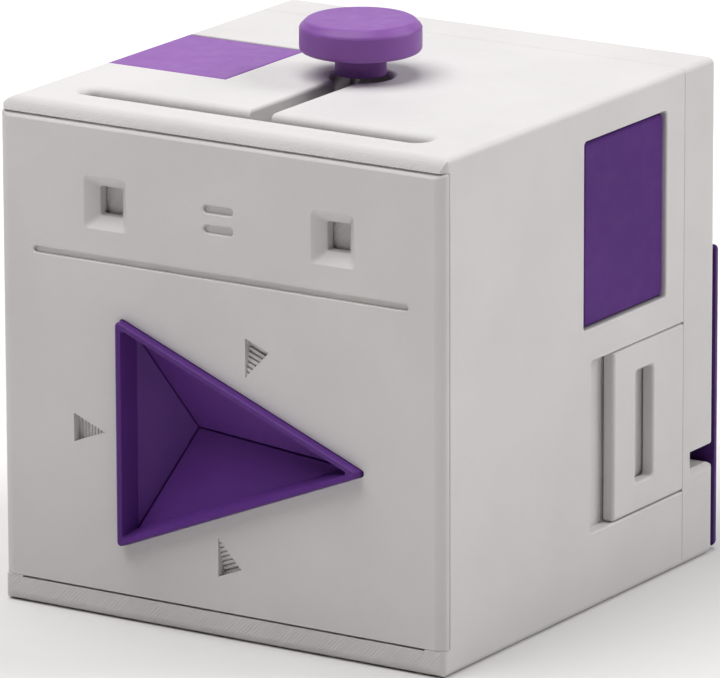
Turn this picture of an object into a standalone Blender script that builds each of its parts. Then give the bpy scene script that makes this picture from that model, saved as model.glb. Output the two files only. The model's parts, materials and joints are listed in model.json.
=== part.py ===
"""Desk fidget cube: a press dish, a gliding knob, a slider, a button, a corner clicker and a rear door.

Metres, +Z up. The origin is the centre of the base, +X is the cube's right side and -Y its front.
"""
import math

import bmesh
import bpy
from mathutils import Matrix, Vector

# Driving dimensions of the cube
SIDE = 0.070
HALF = SIDE / 2
WALL = 0.003
GAP = 0.0003
HAIR = 0.00001
EDGE_ROUND = 0.001
TOP_FRONT_CHAMFER = 0.0012
BASE_FRONT_CHAMFER = 0.0008
CHAMFER_BULGE = 0.3
OVERCUT = 0.0006
FRONT = -HALF
BACK = HALF

# Front panel
LIP_BOTTOM = 0.0035
LIP_TOP = 0.0683
PANEL_RIM = 0.00126
PANEL_THICK = 0.003
PANEL_EDGE = 0.0012
PANEL_BACK = FRONT + PANEL_THICK
MOUTH_HALF = 0.0295
MOUTH_Z = 0.0498
MOUTH_HEIGHT = 0.00085
MOUTH_DEPTH = 0.0007
EYE_X = 0.0179
EYE_Z = 0.0572
EYE_OUTER = 0.0070
EYE_INNER = 0.0036
EYE_DEPTH = 0.0016
EYE_CORNER = 0.0005
EYE_HOLE_CORNER = 0.0003
NOSE_WIDTH = 0.0046
NOSE_HEIGHT = 0.00105
NOSE_LEVELS = (0.0587, 0.0560)
NOSE_DEPTH = 0.0009
MARK_HALF_BASE = 0.0020
MARK_LENGTH = 0.0050
MARK_STEPS = 7
MARK_STEP_DEPTH = 0.0002
MARKS = ((-0.0208, 0.0258, 0.0), (0.0051, 0.0389, -111.7), (0.0006, 0.0116, 111.7))
STANDOFF_RADIUS = 0.003
STANDOFF_HOLE_DEPTH = 0.006
STANDOFFS = ((-0.026, 0.008), (0.026, 0.008), (-0.026, 0.0445), (0.026, 0.0445))

# Press dish, an isosceles triangle that points to the right
DISH_LEFT = -0.0153
DISH_LENGTH = 0.0389
DISH_HALF_BASE = 0.0155
DISH_Z = 0.0264
DISH_PROUD = 0.0014
DISH_RIM_CHAMFER = 0.0003
DISH_RIM_WIDTH = 0.00085
DISH_WALL_DEPTH = 0.003
DISH_WALL_TAPER = 0.0007
DISH_DEPTH = 0.0091
DISH_APEX_X = -0.0083
DISH_FLANGE = 0.0012
DISH_FLANGE_THICK = 0.0015
DISH_HOLE_GAP = 0.00035
DISH_POST_RADIUS = 0.003
DISH_POST_END = -0.0085
DISH_BACK_SKIN = 0.0019
DISH_TAIL_SCALE = 0.35
DISH_TIP_SCALE = 0.004
DISH_MOUTH_RISE = 0.001
DISH_COIL = (0.0040, 0.0004, 4.5)

# Inner chassis, a plate behind the panel with a baffle behind the two square holes
CHASSIS_FRONT = -0.017
CHASSIS_BACK = -0.014
CHASSIS_TOP = 0.0605
BAFFLE_FRONT = -0.0316
BAFFLE_BACK = -0.0300
BAFFLE_HALF = 0.026
BAFFLE_SHELF_Z = 0.050
BAFFLE_SHELF_THICK = 0.0015
RIB_INNER = 0.029
RIB_FRONT = -0.020
RIB_LOW = 0.014
RIB_HIGH = 0.036

# Top slot and knob
SLOT_HALF = 0.0017
SLOT_ARM = 0.0271
SLOT_CROSS_Y = -0.0263
SLOT_FLARE = 0.0005
KNOB_HOLE_RADIUS = 0.0042
NECK_RADIUS = 0.0035
CAP_RADIUS = 0.0083
CAP_BOTTOM = SIDE + 0.0038
CAP_TOP = SIDE + 0.0078
CAP_CHAMFER = 0.001
CAP_UNDER_CHAMFER = 0.0004
SCREW_RADIUS = 0.0015
FOOT_RADIUS = 0.0028
KNOB_BORE_TOP = SIDE + 0.0060
SHOE_THICK = 0.0015
WASHER_THICK = 0.0004
CAP_SIDES = 48

# Corner clicker, a lever that wraps over the left edge of the top
CLICKER_RIGHT = -0.0145
CLICKER_FRONT = -0.0113
CLICKER_BACK = 0.0085
CLICKER_TOP = SIDE - 0.0001
CLICKER_THICK = 0.0025
CLICKER_SKIRT_Z = 0.060
CLICKER_SKIRT_THICK = 0.0024
CLICKER_SWING = 0.0016
CLICKER_WEB_HALF = 0.0012
PIVOT_X = -0.0167
PIVOT_Z = 0.0644
PIN_RADIUS = 0.001
BARREL_RADIUS = 0.0022
EAR_THICK = 0.0027
EAR_HALF = 0.0027
EAR_BOTTOM = 0.0618
EAR_GAP = 0.001
CLICKER_SPRING_X = -0.0285
CLICKER_SPRING_Y = -0.0014
CLICKER_COIL = (0.0021, 0.0003, 8)
SEAT_RADIUS = 0.0013
SEAT_LENGTH = 0.0012
SHELF_TOP = 0.054
SHELF_THICK = 0.002
SHELF_RIGHT = -0.0245
SHELF_FRONT = -0.005
SHELF_BACK = 0.0022

# Side button
BUTTON_FRONT = 0.0005
BUTTON_BACK = 0.0213
BUTTON_LOW = 0.0395
BUTTON_HIGH = 0.0648
BUTTON_FACE = HALF - 0.0003
BUTTON_CHAMFER = 0.0005
BUTTON_ROUND = 0.0008
BUTTON_FLANGE = 0.0012
BUTTON_FLANGE_THICK = 0.0015
BUTTON_POST_RADIUS = 0.0016
BUTTON_POSTS = (0.006, 0.016)
BUTTON_POST_END = 0.0245
BUTTON_MID_Z = (BUTTON_LOW + BUTTON_HIGH) / 2
BUTTON_COIL = (0.0024, 0.0003, 3.5)
BRACKET_INNER = 0.0233
BRACKET_OUTER = 0.0253
BRACKET_LOW = 0.042
BRACKET_HIGH = 0.062
BRACKET_FRONT = -0.0036
BRACKET_BACK = 0.0254
BRACKET_LEG = 0.0018
BRACKET_FOOT_FRONT = -0.009
BRACKET_HOLE_SKIN = 0.0008
BRACKET_SCREWS = (0.0465, 0.0575)
BRACKET_SCREW_Y = -0.0062

# Side slider
RECESS_FRONT = 0.0021
RECESS_LOW = 0.0107
RECESS_HIGH = 0.0346
RECESS_DEPTH = 0.0019
SLIDER_FRONT = 0.0082
SLIDER_THICK = 0.0016
GRIP_FRONT = 0.0138
GRIP_BACK = 0.0185
GRIP_LOW = 0.0147
GRIP_HIGH = 0.0307
TONGUE_FRONT = 0.0193
TONGUE_BACK = 0.0237
TONGUE_HEIGHT = 0.0026
TONGUE_LEVELS = (0.0131, 0.0324)
SLIDER_TRAVEL = 0.0058
KEEPER_INNER = 0.0296
KEEPER_OUTER = 0.0309
KEEPER_FRONT = 0.017
KEEPER_BACK = 0.025
KEEPER_LOW = 0.0117

# Rear section and its sliding door
SEAM_Y = 0.0265
SHELL_BACK = SEAM_Y - GAP / 2
COVER_FRONT = SEAM_Y + GAP / 2
GROOVE_LOW = 0.0130
GROOVE_HIGH = 0.0158
GROOVE_FLOOR = 0.0283
UNDERCUT_BACK = 0.0306
UNDERCUT_MARGIN = 0.0018
UNDERCUT_RIGHT = 0.022
STASH_LEFT = -0.030
STASH_RIGHT = -0.010
STASH_LOW = 0.020
STASH_HIGH = 0.0415
STASH_FLOOR = 0.0285
STASH_CORNER = 0.0015
DOOR_HALF = HALF - 0.0002
DOOR_LOW = 0.0007
DOOR_HIGH = 0.0434
DOOR_BACK = BACK + 0.002
DOOR_EDGE = 0.001
RUNNER_LEFT = -0.027
RUNNER_RIGHT = -0.002
RUNNER_OVERLAP = 0.001
STOP_X = -0.0305
STOP_LOW = 0.0094
STOP_HIGH = 0.0194
COVER_SCREWS = ((-0.0277, 0.0073), (0.0277, 0.0073), (-0.019, 0.0625), (0.019, 0.0625))
BOSS_HALF = 0.004
BOSS_FRONT = 0.014
BOSS_SKIN = 0.002

# Fasteners
M3_SHANK = 0.0013
M3_HEAD = 0.0027
M3_HEAD_HEIGHT = 0.0018
M2_SHANK = 0.0007
M2_HEAD = 0.0014
M2_HEAD_HEIGHT = 0.0012
SHANK_GAP = 0.00015
SCREW_END_GAP = 0.001
SOCKET_SHARE = 0.5
ROUND_SIDES = 32
SMALL_SIDES = 16

COLLECTION = bpy.context.scene.collection


def clear_scene():
    for item in list(bpy.data.objects):
        bpy.data.objects.remove(item, do_unlink=True)


def material(name, color, roughness, metallic=0.0):
    surface = bpy.data.materials.new(name)
    surface.use_nodes = True
    shader = surface.node_tree.nodes["Principled BSDF"]
    shader.inputs["Base Color"].default_value = (*color, 1.0)
    shader.inputs["Roughness"].default_value = roughness
    shader.inputs["Metallic"].default_value = metallic
    return surface


def white_plastic(name):
    return material(name, (0.80, 0.79, 0.80), 0.55)


def purple_plastic(name):
    return material(name, (0.22, 0.09, 0.36), 0.5)


def steel(name):
    return material(name, (0.56, 0.57, 0.58), 0.35, 1.0)


def solid_from(bm):
    """Make an object from a bmesh, with its faces pointing out."""
    bmesh.ops.recalc_face_normals(bm, faces=bm.faces)
    mesh = bpy.data.meshes.new("solid")
    bm.to_mesh(mesh)
    bm.free()
    item = bpy.data.objects.new("solid", mesh)
    COLLECTION.objects.link(item)
    return item


def block(x0, x1, y0, y1, z0, z1):
    bm = bmesh.new()
    bmesh.ops.create_cube(bm, size=1.0)
    for vert in bm.verts:
        vert.co.x = x1 if vert.co.x > 0 else x0
        vert.co.y = y1 if vert.co.y > 0 else y0
        vert.co.z = z1 if vert.co.z > 0 else z0
    return solid_from(bm)


def place(axis, u, v, along):
    """A point from its two coordinates across an axis and its position along that axis."""
    if axis == "X":
        return Vector((along, u, v))
    if axis == "Y":
        return Vector((u, along, v))
    return Vector((u, v, along))


def loft(axis, sections):
    """Skin a row of outlines, each given as (points, position along the axis), and cap both ends."""
    bm = bmesh.new()
    rings = []
    for points, along in sections:
        rings.append([bm.verts.new(place(axis, u, v, along)) for u, v in points])
    for low, high in zip(rings, rings[1:]):
        count = len(low)
        for i in range(count):
            j = (i + 1) % count
            bm.faces.new((low[i], low[j], high[j], high[i]))
    bm.faces.new(rings[0])
    bm.faces.new(rings[-1])
    return solid_from(bm)


def prism(axis, points, start, end):
    return loft(axis, ((points, start), (points, end)))


def circle(u, v, radius, sides=ROUND_SIDES):
    step = 2 * math.pi / sides
    return [(u + radius * math.cos(i * step), v + radius * math.sin(i * step)) for i in range(sides)]


def rounded_rect(u0, u1, v0, v1, radius, steps=4):
    corners = ((u1, v1, 0), (u0, v1, 90), (u0, v0, 180), (u1, v0, 270))
    points = []
    for u, v, start in corners:
        cu = u - radius if u == u1 else u + radius
        cv = v - radius if v == v1 else v + radius
        for i in range(steps + 1):
            angle = math.radians(start + 90 * i / steps)
            points.append((cu + radius * math.cos(angle), cv + radius * math.sin(angle)))
    return points


def rod(axis, u, v, radius, start, end, sides=ROUND_SIDES):
    return prism(axis, circle(u, v, radius, sides), start, end)


def evaluated_copy(item):
    bpy.context.view_layer.update()
    graph = bpy.context.evaluated_depsgraph_get()
    return bpy.data.meshes.new_from_object(item.evaluated_get(graph))


def boolean(item, tool, operation):
    """Join, cut or intersect an object with a tool solid, which is used up."""
    modifier = item.modifiers.new("boolean", "BOOLEAN")
    modifier.operation = operation
    modifier.solver = "EXACT"
    modifier.object = tool
    mesh = evaluated_copy(item)
    item.modifiers.clear()
    item.data = mesh
    bpy.data.objects.remove(tool, do_unlink=True)
    return item


def add(item, *tools):
    for tool in tools:
        boolean(item, tool, "UNION")
    return item


def cut(item, *tools):
    for tool in tools:
        boolean(item, tool, "DIFFERENCE")
    return item


def intersect(item, tool):
    return boolean(item, tool, "INTERSECT")


def finish(item, name, surface, origin=(0.0, 0.0, 0.0)):
    """Name a solid, give it its material and move its origin to a point of its joint's axis."""
    offset = Vector(origin)
    for vert in item.data.vertices:
        vert.co -= offset
    item.location = offset
    item.name = name
    item.data.name = name
    item.data.materials.clear()
    item.data.materials.append(surface)
    item.data.shade_smooth()
    item.data.set_sharp_from_angle(angle=math.radians(35))
    return item


def edge_rings(axis, u0, u1, v0, v1, radius, start, end, direction, sides=(1, 1, 1, 1), steps=4):
    """A plate whose edges round over near its end; sides says which of u0, u1, v0, v1 are rounded."""
    sections = [([(u0, v0), (u1, v0), (u1, v1), (u0, v1)], start)]
    for i in range(steps + 1):
        angle = math.radians(90 * i / steps)
        inset = radius * (1 - math.cos(angle))
        along = end - direction * radius * (1 - math.sin(angle))
        a0 = u0 + inset * sides[0]
        a1 = u1 - inset * sides[1]
        b0 = v0 + inset * sides[2]
        b1 = v1 - inset * sides[3]
        sections.append(([(a0, b0), (a1, b0), (a1, b1), (a0, b1)], along))
    return loft(axis, sections)


def triangle(inset=0.0):
    """The dish outline in X and Z, moved inwards by a distance on all three sides."""
    slope = math.atan2(DISH_HALF_BASE, DISH_LENGTH)
    left = DISH_LEFT + inset
    tip = DISH_LEFT + DISH_LENGTH - inset / math.sin(slope)
    half = (tip - left) * math.tan(slope)
    return [(left, DISH_Z - half), (tip, DISH_Z), (left, DISH_Z + half)]


def towards_apex(points, scale):
    return [(DISH_APEX_X + (u - DISH_APEX_X) * scale, DISH_Z + (v - DISH_Z) * scale) for u, v in points]


def screw(name, axis, u, v, head_end, tip_end, size):
    """A socket-head screw whose head starts at head_end and whose shank ends at tip_end."""
    shank, head, height = size
    direction = 1 if tip_end > head_end else -1
    head_base = head_end + direction * height
    item = rod(axis, u, v, head, head_end, head_base, SMALL_SIDES)
    add(item, rod(axis, u, v, shank, head_base - direction * height / 2, tip_end, SMALL_SIDES))
    socket_start = head_end - direction * height
    socket_end = head_end + direction * height / 2
    cut(item, rod(axis, u, v, head * SOCKET_SHARE, socket_start, socket_end, 6))
    return finish(item, name, steel(name + "_steel"))


def coil(name, centre, axis, length, size):
    """A compression spring of a given (radius, wire radius, turns), made as a tube along a helix."""
    radius, wire, turns = size
    steps = 14
    count = int(turns * steps)
    curve = bpy.data.curves.new(name, "CURVE")
    curve.dimensions = "3D"
    curve.bevel_depth = wire
    curve.bevel_resolution = 1
    curve.use_fill_caps = True
    spline = curve.splines.new("POLY")
    spline.points.add(count)
    for i, point in enumerate(spline.points):
        angle = 2 * math.pi * i / steps
        along = wire + (length - 2 * wire) * i / count
        u = radius * math.cos(angle)
        v = radius * math.sin(angle)
        point.co = (*place(axis, u, v, along), 1.0)
    item = bpy.data.objects.new(name, curve)
    item.location = centre
    curve.materials.append(steel(name + "_steel"))
    COLLECTION.objects.link(item)
    return item


def mark_cutters():
    """Stepped ramps that get deeper towards the base of each small triangle."""
    run = MARK_LENGTH / MARK_STEPS
    stairs = [(-MARK_LENGTH, -WALL), (MARK_LENGTH / 2, -WALL)]
    for step in range(MARK_STEPS):
        near = MARK_LENGTH / 2 - step * run
        depth = MARK_STEP_DEPTH * (step + 1)
        stairs.append((near, depth))
        stairs.append((near - run if step < MARK_STEPS - 1 else -MARK_LENGTH, depth))
    half = MARK_LENGTH / 2
    outline = [(half, 0.0), (-half, MARK_HALF_BASE), (-half, -MARK_HALF_BASE)]
    cutters = []
    for centre_x, centre_z, turn in MARKS:
        cutter = prism("Z", stairs, -MARK_LENGTH, MARK_LENGTH)
        intersect(cutter, prism("Y", outline, -2 * WALL, WALL * 2 / 3))
        angle = -math.radians(turn)
        turned = Matrix.Rotation(angle, 4, "Y")
        cutter.data.transform(Matrix.Translation((centre_x, FRONT, centre_z)) @ turned)
        cutters.append(cutter)
    return cutters


def front_panel():
    rim_back = FRONT + PANEL_RIM
    high = LIP_TOP - GAP
    low = LIP_BOTTOM + GAP
    item = edge_rings("Y", -HALF, HALF, low, high, PANEL_EDGE, rim_back, FRONT, -1, (1, 1, 0, 1))
    inner = HALF - WALL - GAP
    add(item, block(-inner, inner, FRONT + PANEL_EDGE / 2, PANEL_BACK, low, SIDE - WALL - GAP))
    for x, z in STANDOFFS:
        add(item, rod("Y", x, z, STANDOFF_RADIUS, PANEL_BACK - GAP, CHASSIS_FRONT - GAP, SMALL_SIDES))
        hole_end = CHASSIS_FRONT - STANDOFF_HOLE_DEPTH
        cut(item, rod("Y", x, z, M3_SHANK + SHANK_GAP, hole_end, CHASSIS_FRONT, SMALL_SIDES))
    cut(item, prism("Y", triangle(-DISH_HOLE_GAP), FRONT - WALL, PANEL_BACK + WALL))
    for x in (-EYE_X, EYE_X):
        outer = EYE_OUTER / 2
        inner = EYE_INNER / 2
        flare = (outer - inner) / EYE_DEPTH
        mouth = outer + flare * GAP
        wide = rounded_rect(x - mouth, x + mouth, EYE_Z - mouth, EYE_Z + mouth, EYE_CORNER)
        small = rounded_rect(x - inner, x + inner, EYE_Z - inner, EYE_Z + inner, EYE_HOLE_CORNER)
        funnel_end = FRONT + EYE_DEPTH
        cut(item, loft("Y", ((wide, FRONT - GAP), (small, funnel_end), (small, PANEL_BACK + WALL))))
    for z in NOSE_LEVELS:
        half = NOSE_HEIGHT / 2
        outline = rounded_rect(-NOSE_WIDTH / 2, NOSE_WIDTH / 2, z - half, z + half, half - HAIR)
        cut(item, prism("Y", outline, FRONT - WALL, FRONT + NOSE_DEPTH))
    half = MOUTH_HEIGHT / 2
    outline = rounded_rect(-MOUTH_HALF, MOUTH_HALF, MOUTH_Z - half, MOUTH_Z + half, half - HAIR)
    cut(item, prism("Y", outline, FRONT - WALL, FRONT + MOUTH_DEPTH))
    cut(item, *mark_cutters())
    return finish(item, "front_panel", white_plastic("panel_white"))


def slot_cutters():
    """The T-shaped slot of the top with flared upper edges, and the round hole at its rear end."""
    low = SIDE - 2 * WALL
    flare_start = SIDE - SLOT_FLARE
    above = SIDE + SLOT_FLARE
    arm_front = SLOT_CROSS_Y - SLOT_HALF
    arm_back = SLOT_CROSS_Y + SLOT_HALF
    cutters = []
    outlines = (
        (-SLOT_ARM, SLOT_ARM, arm_front, arm_back),
        (-SLOT_HALF, SLOT_HALF, arm_front, 0.0),
    )
    for x0, x1, y0, y1 in outlines:
        radius = SLOT_HALF - 2 * HAIR
        straight = rounded_rect(x0, x1, y0, y1, radius, 6)
        spread = 2 * SLOT_FLARE
        wide = rounded_rect(x0 - spread, x1 + spread, y0 - spread, y1 + spread, radius + spread, 6)
        cutters.append(loft("Z", ((straight, low), (straight, flare_start), (wide, above))))
    hole = circle(0.0, 0.0, KNOB_HOLE_RADIUS)
    hole_wide = circle(0.0, 0.0, KNOB_HOLE_RADIUS + SLOT_FLARE)
    half_flare = SLOT_FLARE / 2
    cutters.append(loft("Z", ((hole, low), (hole, SIDE - half_flare), (hole_wide, SIDE + half_flare))))
    return cutters


def clicker_ears():
    """Two ears under the top wall that carry the clicker's pin."""
    ears = []
    x0 = PIVOT_X - EAR_HALF
    x1 = PIVOT_X + EAR_HALF
    for start in (CLICKER_FRONT - EAR_GAP - EAR_THICK, CLICKER_BACK + EAR_GAP):
        ears.append(block(x0, x1, start, start + EAR_THICK, EAR_BOTTOM, SIDE - WALL / 2))
    return ears


def shell_bosses():
    """Square bosses in the corners, which take the rear cover's screws."""
    bosses = []
    for x, z in COVER_SCREWS:
        low = LIP_BOTTOM - WALL / 2 if z < HALF else z - BOSS_HALF
        high = z + BOSS_HALF if z < HALF else SIDE - WALL / 2
        x0 = x - BOSS_HALF
        x1 = x + BOSS_HALF
        if z < HALF and x > 0:
            x1 = HALF - WALL / 2
        if z < HALF and x < 0:
            x0 = -HALF + WALL / 2
        bosses.append(block(x0, x1, BOSS_FRONT, SHELL_BACK, low, high))
    return bosses


def shell_profile():
    """The shell's outline in Y and Z: rounded front edges, and the panel's rebate between two lips."""
    rim = FRONT + PANEL_RIM + GAP
    top = TOP_FRONT_CHAMFER
    base = BASE_FRONT_CHAMFER
    return [
        (FRONT, base),
        (FRONT + base * CHAMFER_BULGE, base * CHAMFER_BULGE),
        (FRONT + base, 0.0),
        (SHELL_BACK, 0.0),
        (SHELL_BACK, SIDE),
        (FRONT + top, SIDE),
        (FRONT + top * CHAMFER_BULGE, SIDE - top * CHAMFER_BULGE),
        (FRONT, SIDE - top),
        (FRONT, LIP_TOP),
        (rim, LIP_TOP),
        (rim, LIP_BOTTOM),
        (FRONT, LIP_BOTTOM),
    ]


def cut_clicker_opening(item):
    """The opening for the tile in the top wall, and for its skirt in the left wall with room to swing."""
    over = SIDE + WALL
    left = -HALF - WALL
    front = CLICKER_FRONT - GAP
    back = CLICKER_BACK + GAP
    cut(item, rod("Y", PIVOT_X, PIVOT_Z, PIN_RADIUS + SHANK_GAP, -HALF / 2, HALF / 2, SMALL_SIDES))
    cut(item, block(left, CLICKER_RIGHT + GAP, front, back, SIDE - WALL - OVERCUT, over))
    cut(item, block(left, -HALF + WALL + GAP, front, back, CLICKER_SKIRT_Z - CLICKER_SWING, over))


def cut_right_openings(item):
    """The button's window, the slider's recess with two tongue slots, and the bracket's screw holes."""
    outline = rounded_rect(
        BUTTON_FRONT - GAP, BUTTON_BACK + GAP, BUTTON_LOW - GAP, BUTTON_HIGH + GAP, BUTTON_ROUND + GAP
    )
    inside = HALF - 2 * WALL
    cut(item, prism("X", outline, inside, HALF + WALL))
    cut(item, block(HALF - RECESS_DEPTH, HALF + WALL, RECESS_FRONT, SIDE, RECESS_LOW, RECESS_HIGH))
    half = TONGUE_HEIGHT / 2 + GAP
    slot_front = TONGUE_FRONT - SLIDER_TRAVEL - GAP
    for z in TONGUE_LEVELS:
        cut(item, block(inside, HALF, slot_front, TONGUE_BACK + GAP, z - half, z + half))
    hole_end = HALF - BRACKET_HOLE_SKIN
    for z in BRACKET_SCREWS:
        cut(item, rod("X", BRACKET_SCREW_Y, z, M2_SHANK + SHANK_GAP, inside, hole_end, SMALL_SIDES))


def main_shell():
    item = prism("X", shell_profile(), -HALF, HALF)
    intersect(item, prism("Y", rounded_rect(-HALF, HALF, 0.0, SIDE, EDGE_ROUND), -SIDE, SIDE))
    inner = HALF - WALL
    cut(item, block(-inner, inner, -SIDE, SIDE, LIP_BOTTOM, SIDE - WALL))
    in_wall = HALF - WALL / 2
    for x0, x1 in ((-in_wall, -RIB_INNER), (RIB_INNER, in_wall)):
        add(item, block(x0, x1, RIB_FRONT, CHASSIS_FRONT - GAP, RIB_LOW, RIB_HIGH))
    add(item, *shell_bosses())
    add(item, *clicker_ears())
    shelf_low = SHELF_TOP - SHELF_THICK
    add(item, block(-in_wall, SHELF_RIGHT, SHELF_FRONT, SHELF_BACK, shelf_low, SHELF_TOP))
    hole_end = BOSS_FRONT + BOSS_SKIN
    for x, z in COVER_SCREWS:
        cut(item, rod("Y", x, z, M3_SHANK + SHANK_GAP, hole_end, SHELL_BACK + WALL, SMALL_SIDES))
    cut(item, *slot_cutters())
    cut_clicker_opening(item)
    cut_right_openings(item)
    return finish(item, "main_shell", white_plastic("shell_white"))


def rear_cover():
    item = edge_rings("Y", -HALF, HALF, 0.0, SIDE, EDGE_ROUND, COVER_FRONT, BACK, 1)
    intersect(item, prism("Y", rounded_rect(-HALF, HALF, 0.0, SIDE, EDGE_ROUND), 0.0, SIDE))
    cut(item, block(-SIDE, SIDE, GROOVE_FLOOR, SIDE, GROOVE_LOW, GROOVE_HIGH))
    low = GROOVE_LOW - UNDERCUT_MARGIN
    high = GROOVE_HIGH + UNDERCUT_MARGIN
    cut(item, block(-SIDE, UNDERCUT_RIGHT, GROOVE_FLOOR, UNDERCUT_BACK, low, high))
    outline = rounded_rect(STASH_LEFT, STASH_RIGHT, STASH_LOW, STASH_HIGH, STASH_CORNER)
    cut(item, prism("Y", outline, STASH_FLOOR, SIDE))
    for x, z in COVER_SCREWS:
        head = M3_HEAD + GAP
        cut(item, rod("Y", x, z, head, BACK - M3_HEAD_HEIGHT - 2 * GAP, SIDE, SMALL_SIDES * 2))
        cut(item, rod("Y", x, z, M3_SHANK + GAP, 0.0, SIDE, SMALL_SIDES))
    cut(item, door_stop_rod(PIN_RADIUS + SHANK_GAP))
    return finish(item, "rear_cover", white_plastic("cover_white"))


def door_stop_rod(radius):
    """The stop pin across the groove, or with a larger radius the hole it sits in."""
    stop_y = (GROOVE_FLOOR + UNDERCUT_BACK) / 2
    margin = radius - PIN_RADIUS
    return rod("Z", STOP_X, stop_y, radius, STOP_LOW - margin, STOP_HIGH + margin, SMALL_SIDES)


def door_stop_pin():
    return finish(door_stop_rod(PIN_RADIUS), "door_stop_pin", steel("stop_pin_steel"))


def rear_door():
    """The door plate and the T-shaped runner that holds it in the cover's groove."""
    plate_front = BACK + GAP
    item = edge_rings(
        "Y", -DOOR_HALF, DOOR_HALF, DOOR_LOW, DOOR_HIGH, DOOR_EDGE, plate_front, DOOR_BACK, 1
    )
    low = GROOVE_LOW + GAP
    high = GROOVE_HIGH - GAP
    web_front = UNDERCUT_BACK - RUNNER_OVERLAP
    web_back = BACK + RUNNER_OVERLAP
    add(item, block(RUNNER_LEFT, RUNNER_RIGHT, web_front, web_back, low, high))
    low -= UNDERCUT_MARGIN
    high += UNDERCUT_MARGIN
    add(item, block(RUNNER_LEFT, RUNNER_RIGHT, GROOVE_FLOOR + GAP, UNDERCUT_BACK - GAP, low, high))
    return finish(item, "rear_door", purple_plastic("door_purple"), (RUNNER_RIGHT, BACK, GROOVE_LOW))


def inner_chassis():
    """The plate that carries the panel and the dish, with a baffle in front of it on a shelf."""
    inner = HALF - WALL - GAP
    item = block(-inner, inner, CHASSIS_FRONT, CHASSIS_BACK, LIP_BOTTOM + GAP, CHASSIS_TOP)
    half = BAFFLE_HALF
    shelf_high = BAFFLE_SHELF_Z + BAFFLE_SHELF_THICK
    shelf_back = CHASSIS_FRONT + WALL / 2
    add(item, block(-half, half, BAFFLE_FRONT, shelf_back, BAFFLE_SHELF_Z, shelf_high))
    add(item, block(-half, half, BAFFLE_FRONT, BAFFLE_BACK, BAFFLE_SHELF_Z, CHASSIS_TOP))
    for x, z in STANDOFFS:
        cut(item, rod("Y", x, z, M3_SHANK + GAP, -HALF, 0.0, SMALL_SIDES))
    cut(item, rod("Y", DISH_APEX_X, DISH_Z, DISH_POST_RADIUS + GAP, CHASSIS_FRONT - WALL, 0.0))
    return finish(item, "inner_chassis", white_plastic("chassis_white"))


def press_dish():
    """Triangular dish: a raised rim, tapered inner walls and three facets that fall to one low point."""
    rim_front = FRONT - DISH_PROUD
    wall_low = rim_front + DISH_WALL_DEPTH
    apex_y = rim_front + DISH_DEPTH
    flange_front = PANEL_BACK + GAP
    flange_back = flange_front + DISH_FLANGE_THICK
    shoulder = rim_front + DISH_RIM_CHAMFER
    item = loft("Y", (
        (triangle(DISH_RIM_CHAMFER), rim_front),
        (triangle(), shoulder),
        (triangle(), flange_back),
    ))
    add(item, prism("Y", triangle(-DISH_FLANGE), flange_front, flange_back))
    tail_y = apex_y + DISH_BACK_SKIN
    tail_end = towards_apex(triangle(), DISH_TAIL_SCALE)
    add(item, loft("Y", ((triangle(), flange_back - GAP), (tail_end, tail_y))))
    post_start = tail_y - DISH_BACK_SKIN / 2
    add(item, rod("Y", DISH_APEX_X, DISH_Z, DISH_POST_RADIUS, post_start, DISH_POST_END))
    lip = DISH_RIM_CHAMFER + DISH_RIM_WIDTH
    floor = triangle(lip + DISH_WALL_TAPER)
    mouth_inset = lip - DISH_WALL_TAPER * DISH_MOUTH_RISE / DISH_WALL_DEPTH
    hollow = loft("Y", (
        (triangle(mouth_inset), rim_front - DISH_MOUTH_RISE),
        (floor, wall_low),
        (towards_apex(floor, DISH_TIP_SCALE), apex_y),
    ))
    cut(item, hollow)
    return finish(item, "press_dish", purple_plastic("dish_purple"), (DISH_APEX_X, FRONT, DISH_Z))


def knob_cap():
    under = CAP_BOTTOM + CAP_UNDER_CHAMFER
    shoulder = CAP_TOP - CAP_CHAMFER
    small = CAP_RADIUS - CAP_UNDER_CHAMFER
    item = loft("Z", (
        (circle(0, 0, small, CAP_SIDES), CAP_BOTTOM),
        (circle(0, 0, CAP_RADIUS, CAP_SIDES), under),
        (circle(0, 0, CAP_RADIUS, CAP_SIDES), shoulder),
        (circle(0, 0, CAP_RADIUS - CAP_CHAMFER, CAP_SIDES), CAP_TOP),
    ))
    add(item, rod("Z", 0, 0, NECK_RADIUS, SIDE + GAP, CAP_BOTTOM + CAP_UNDER_CHAMFER))
    cut(item, rod("Z", 0, 0, SCREW_RADIUS + SHANK_GAP, SIDE - GAP, KNOB_BORE_TOP, SMALL_SIDES))
    return finish(item, "knob_cap", purple_plastic("knob_purple"), (0, 0, SIDE))


def foot_ring(name, low, high, surface):
    item = rod("Z", 0, 0, FOOT_RADIUS, low, high)
    cut(item, rod("Z", 0, 0, SCREW_RADIUS + GAP, low - WALL, high + WALL))
    return finish(item, name, surface, (0, 0, SIDE))


def knob_fittings():
    """The shoe and washer under the top wall, and the screw that holds the knob."""
    under_wall = SIDE - WALL - GAP
    shoe_low = under_wall - SHOE_THICK
    foot_ring("knob_shoe", shoe_low, under_wall, white_plastic("shoe_white"))
    washer_high = shoe_low - GAP
    washer_low = washer_high - WASHER_THICK
    foot_ring("knob_washer", washer_low, washer_high, steel("washer_steel"))
    head_low = washer_low - GAP - M3_HEAD_HEIGHT
    size = (SCREW_RADIUS, FOOT_RADIUS, M3_HEAD_HEIGHT)
    screw("knob_screw", "Z", 0, 0, head_low, KNOB_BORE_TOP - GAP, size)


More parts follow.
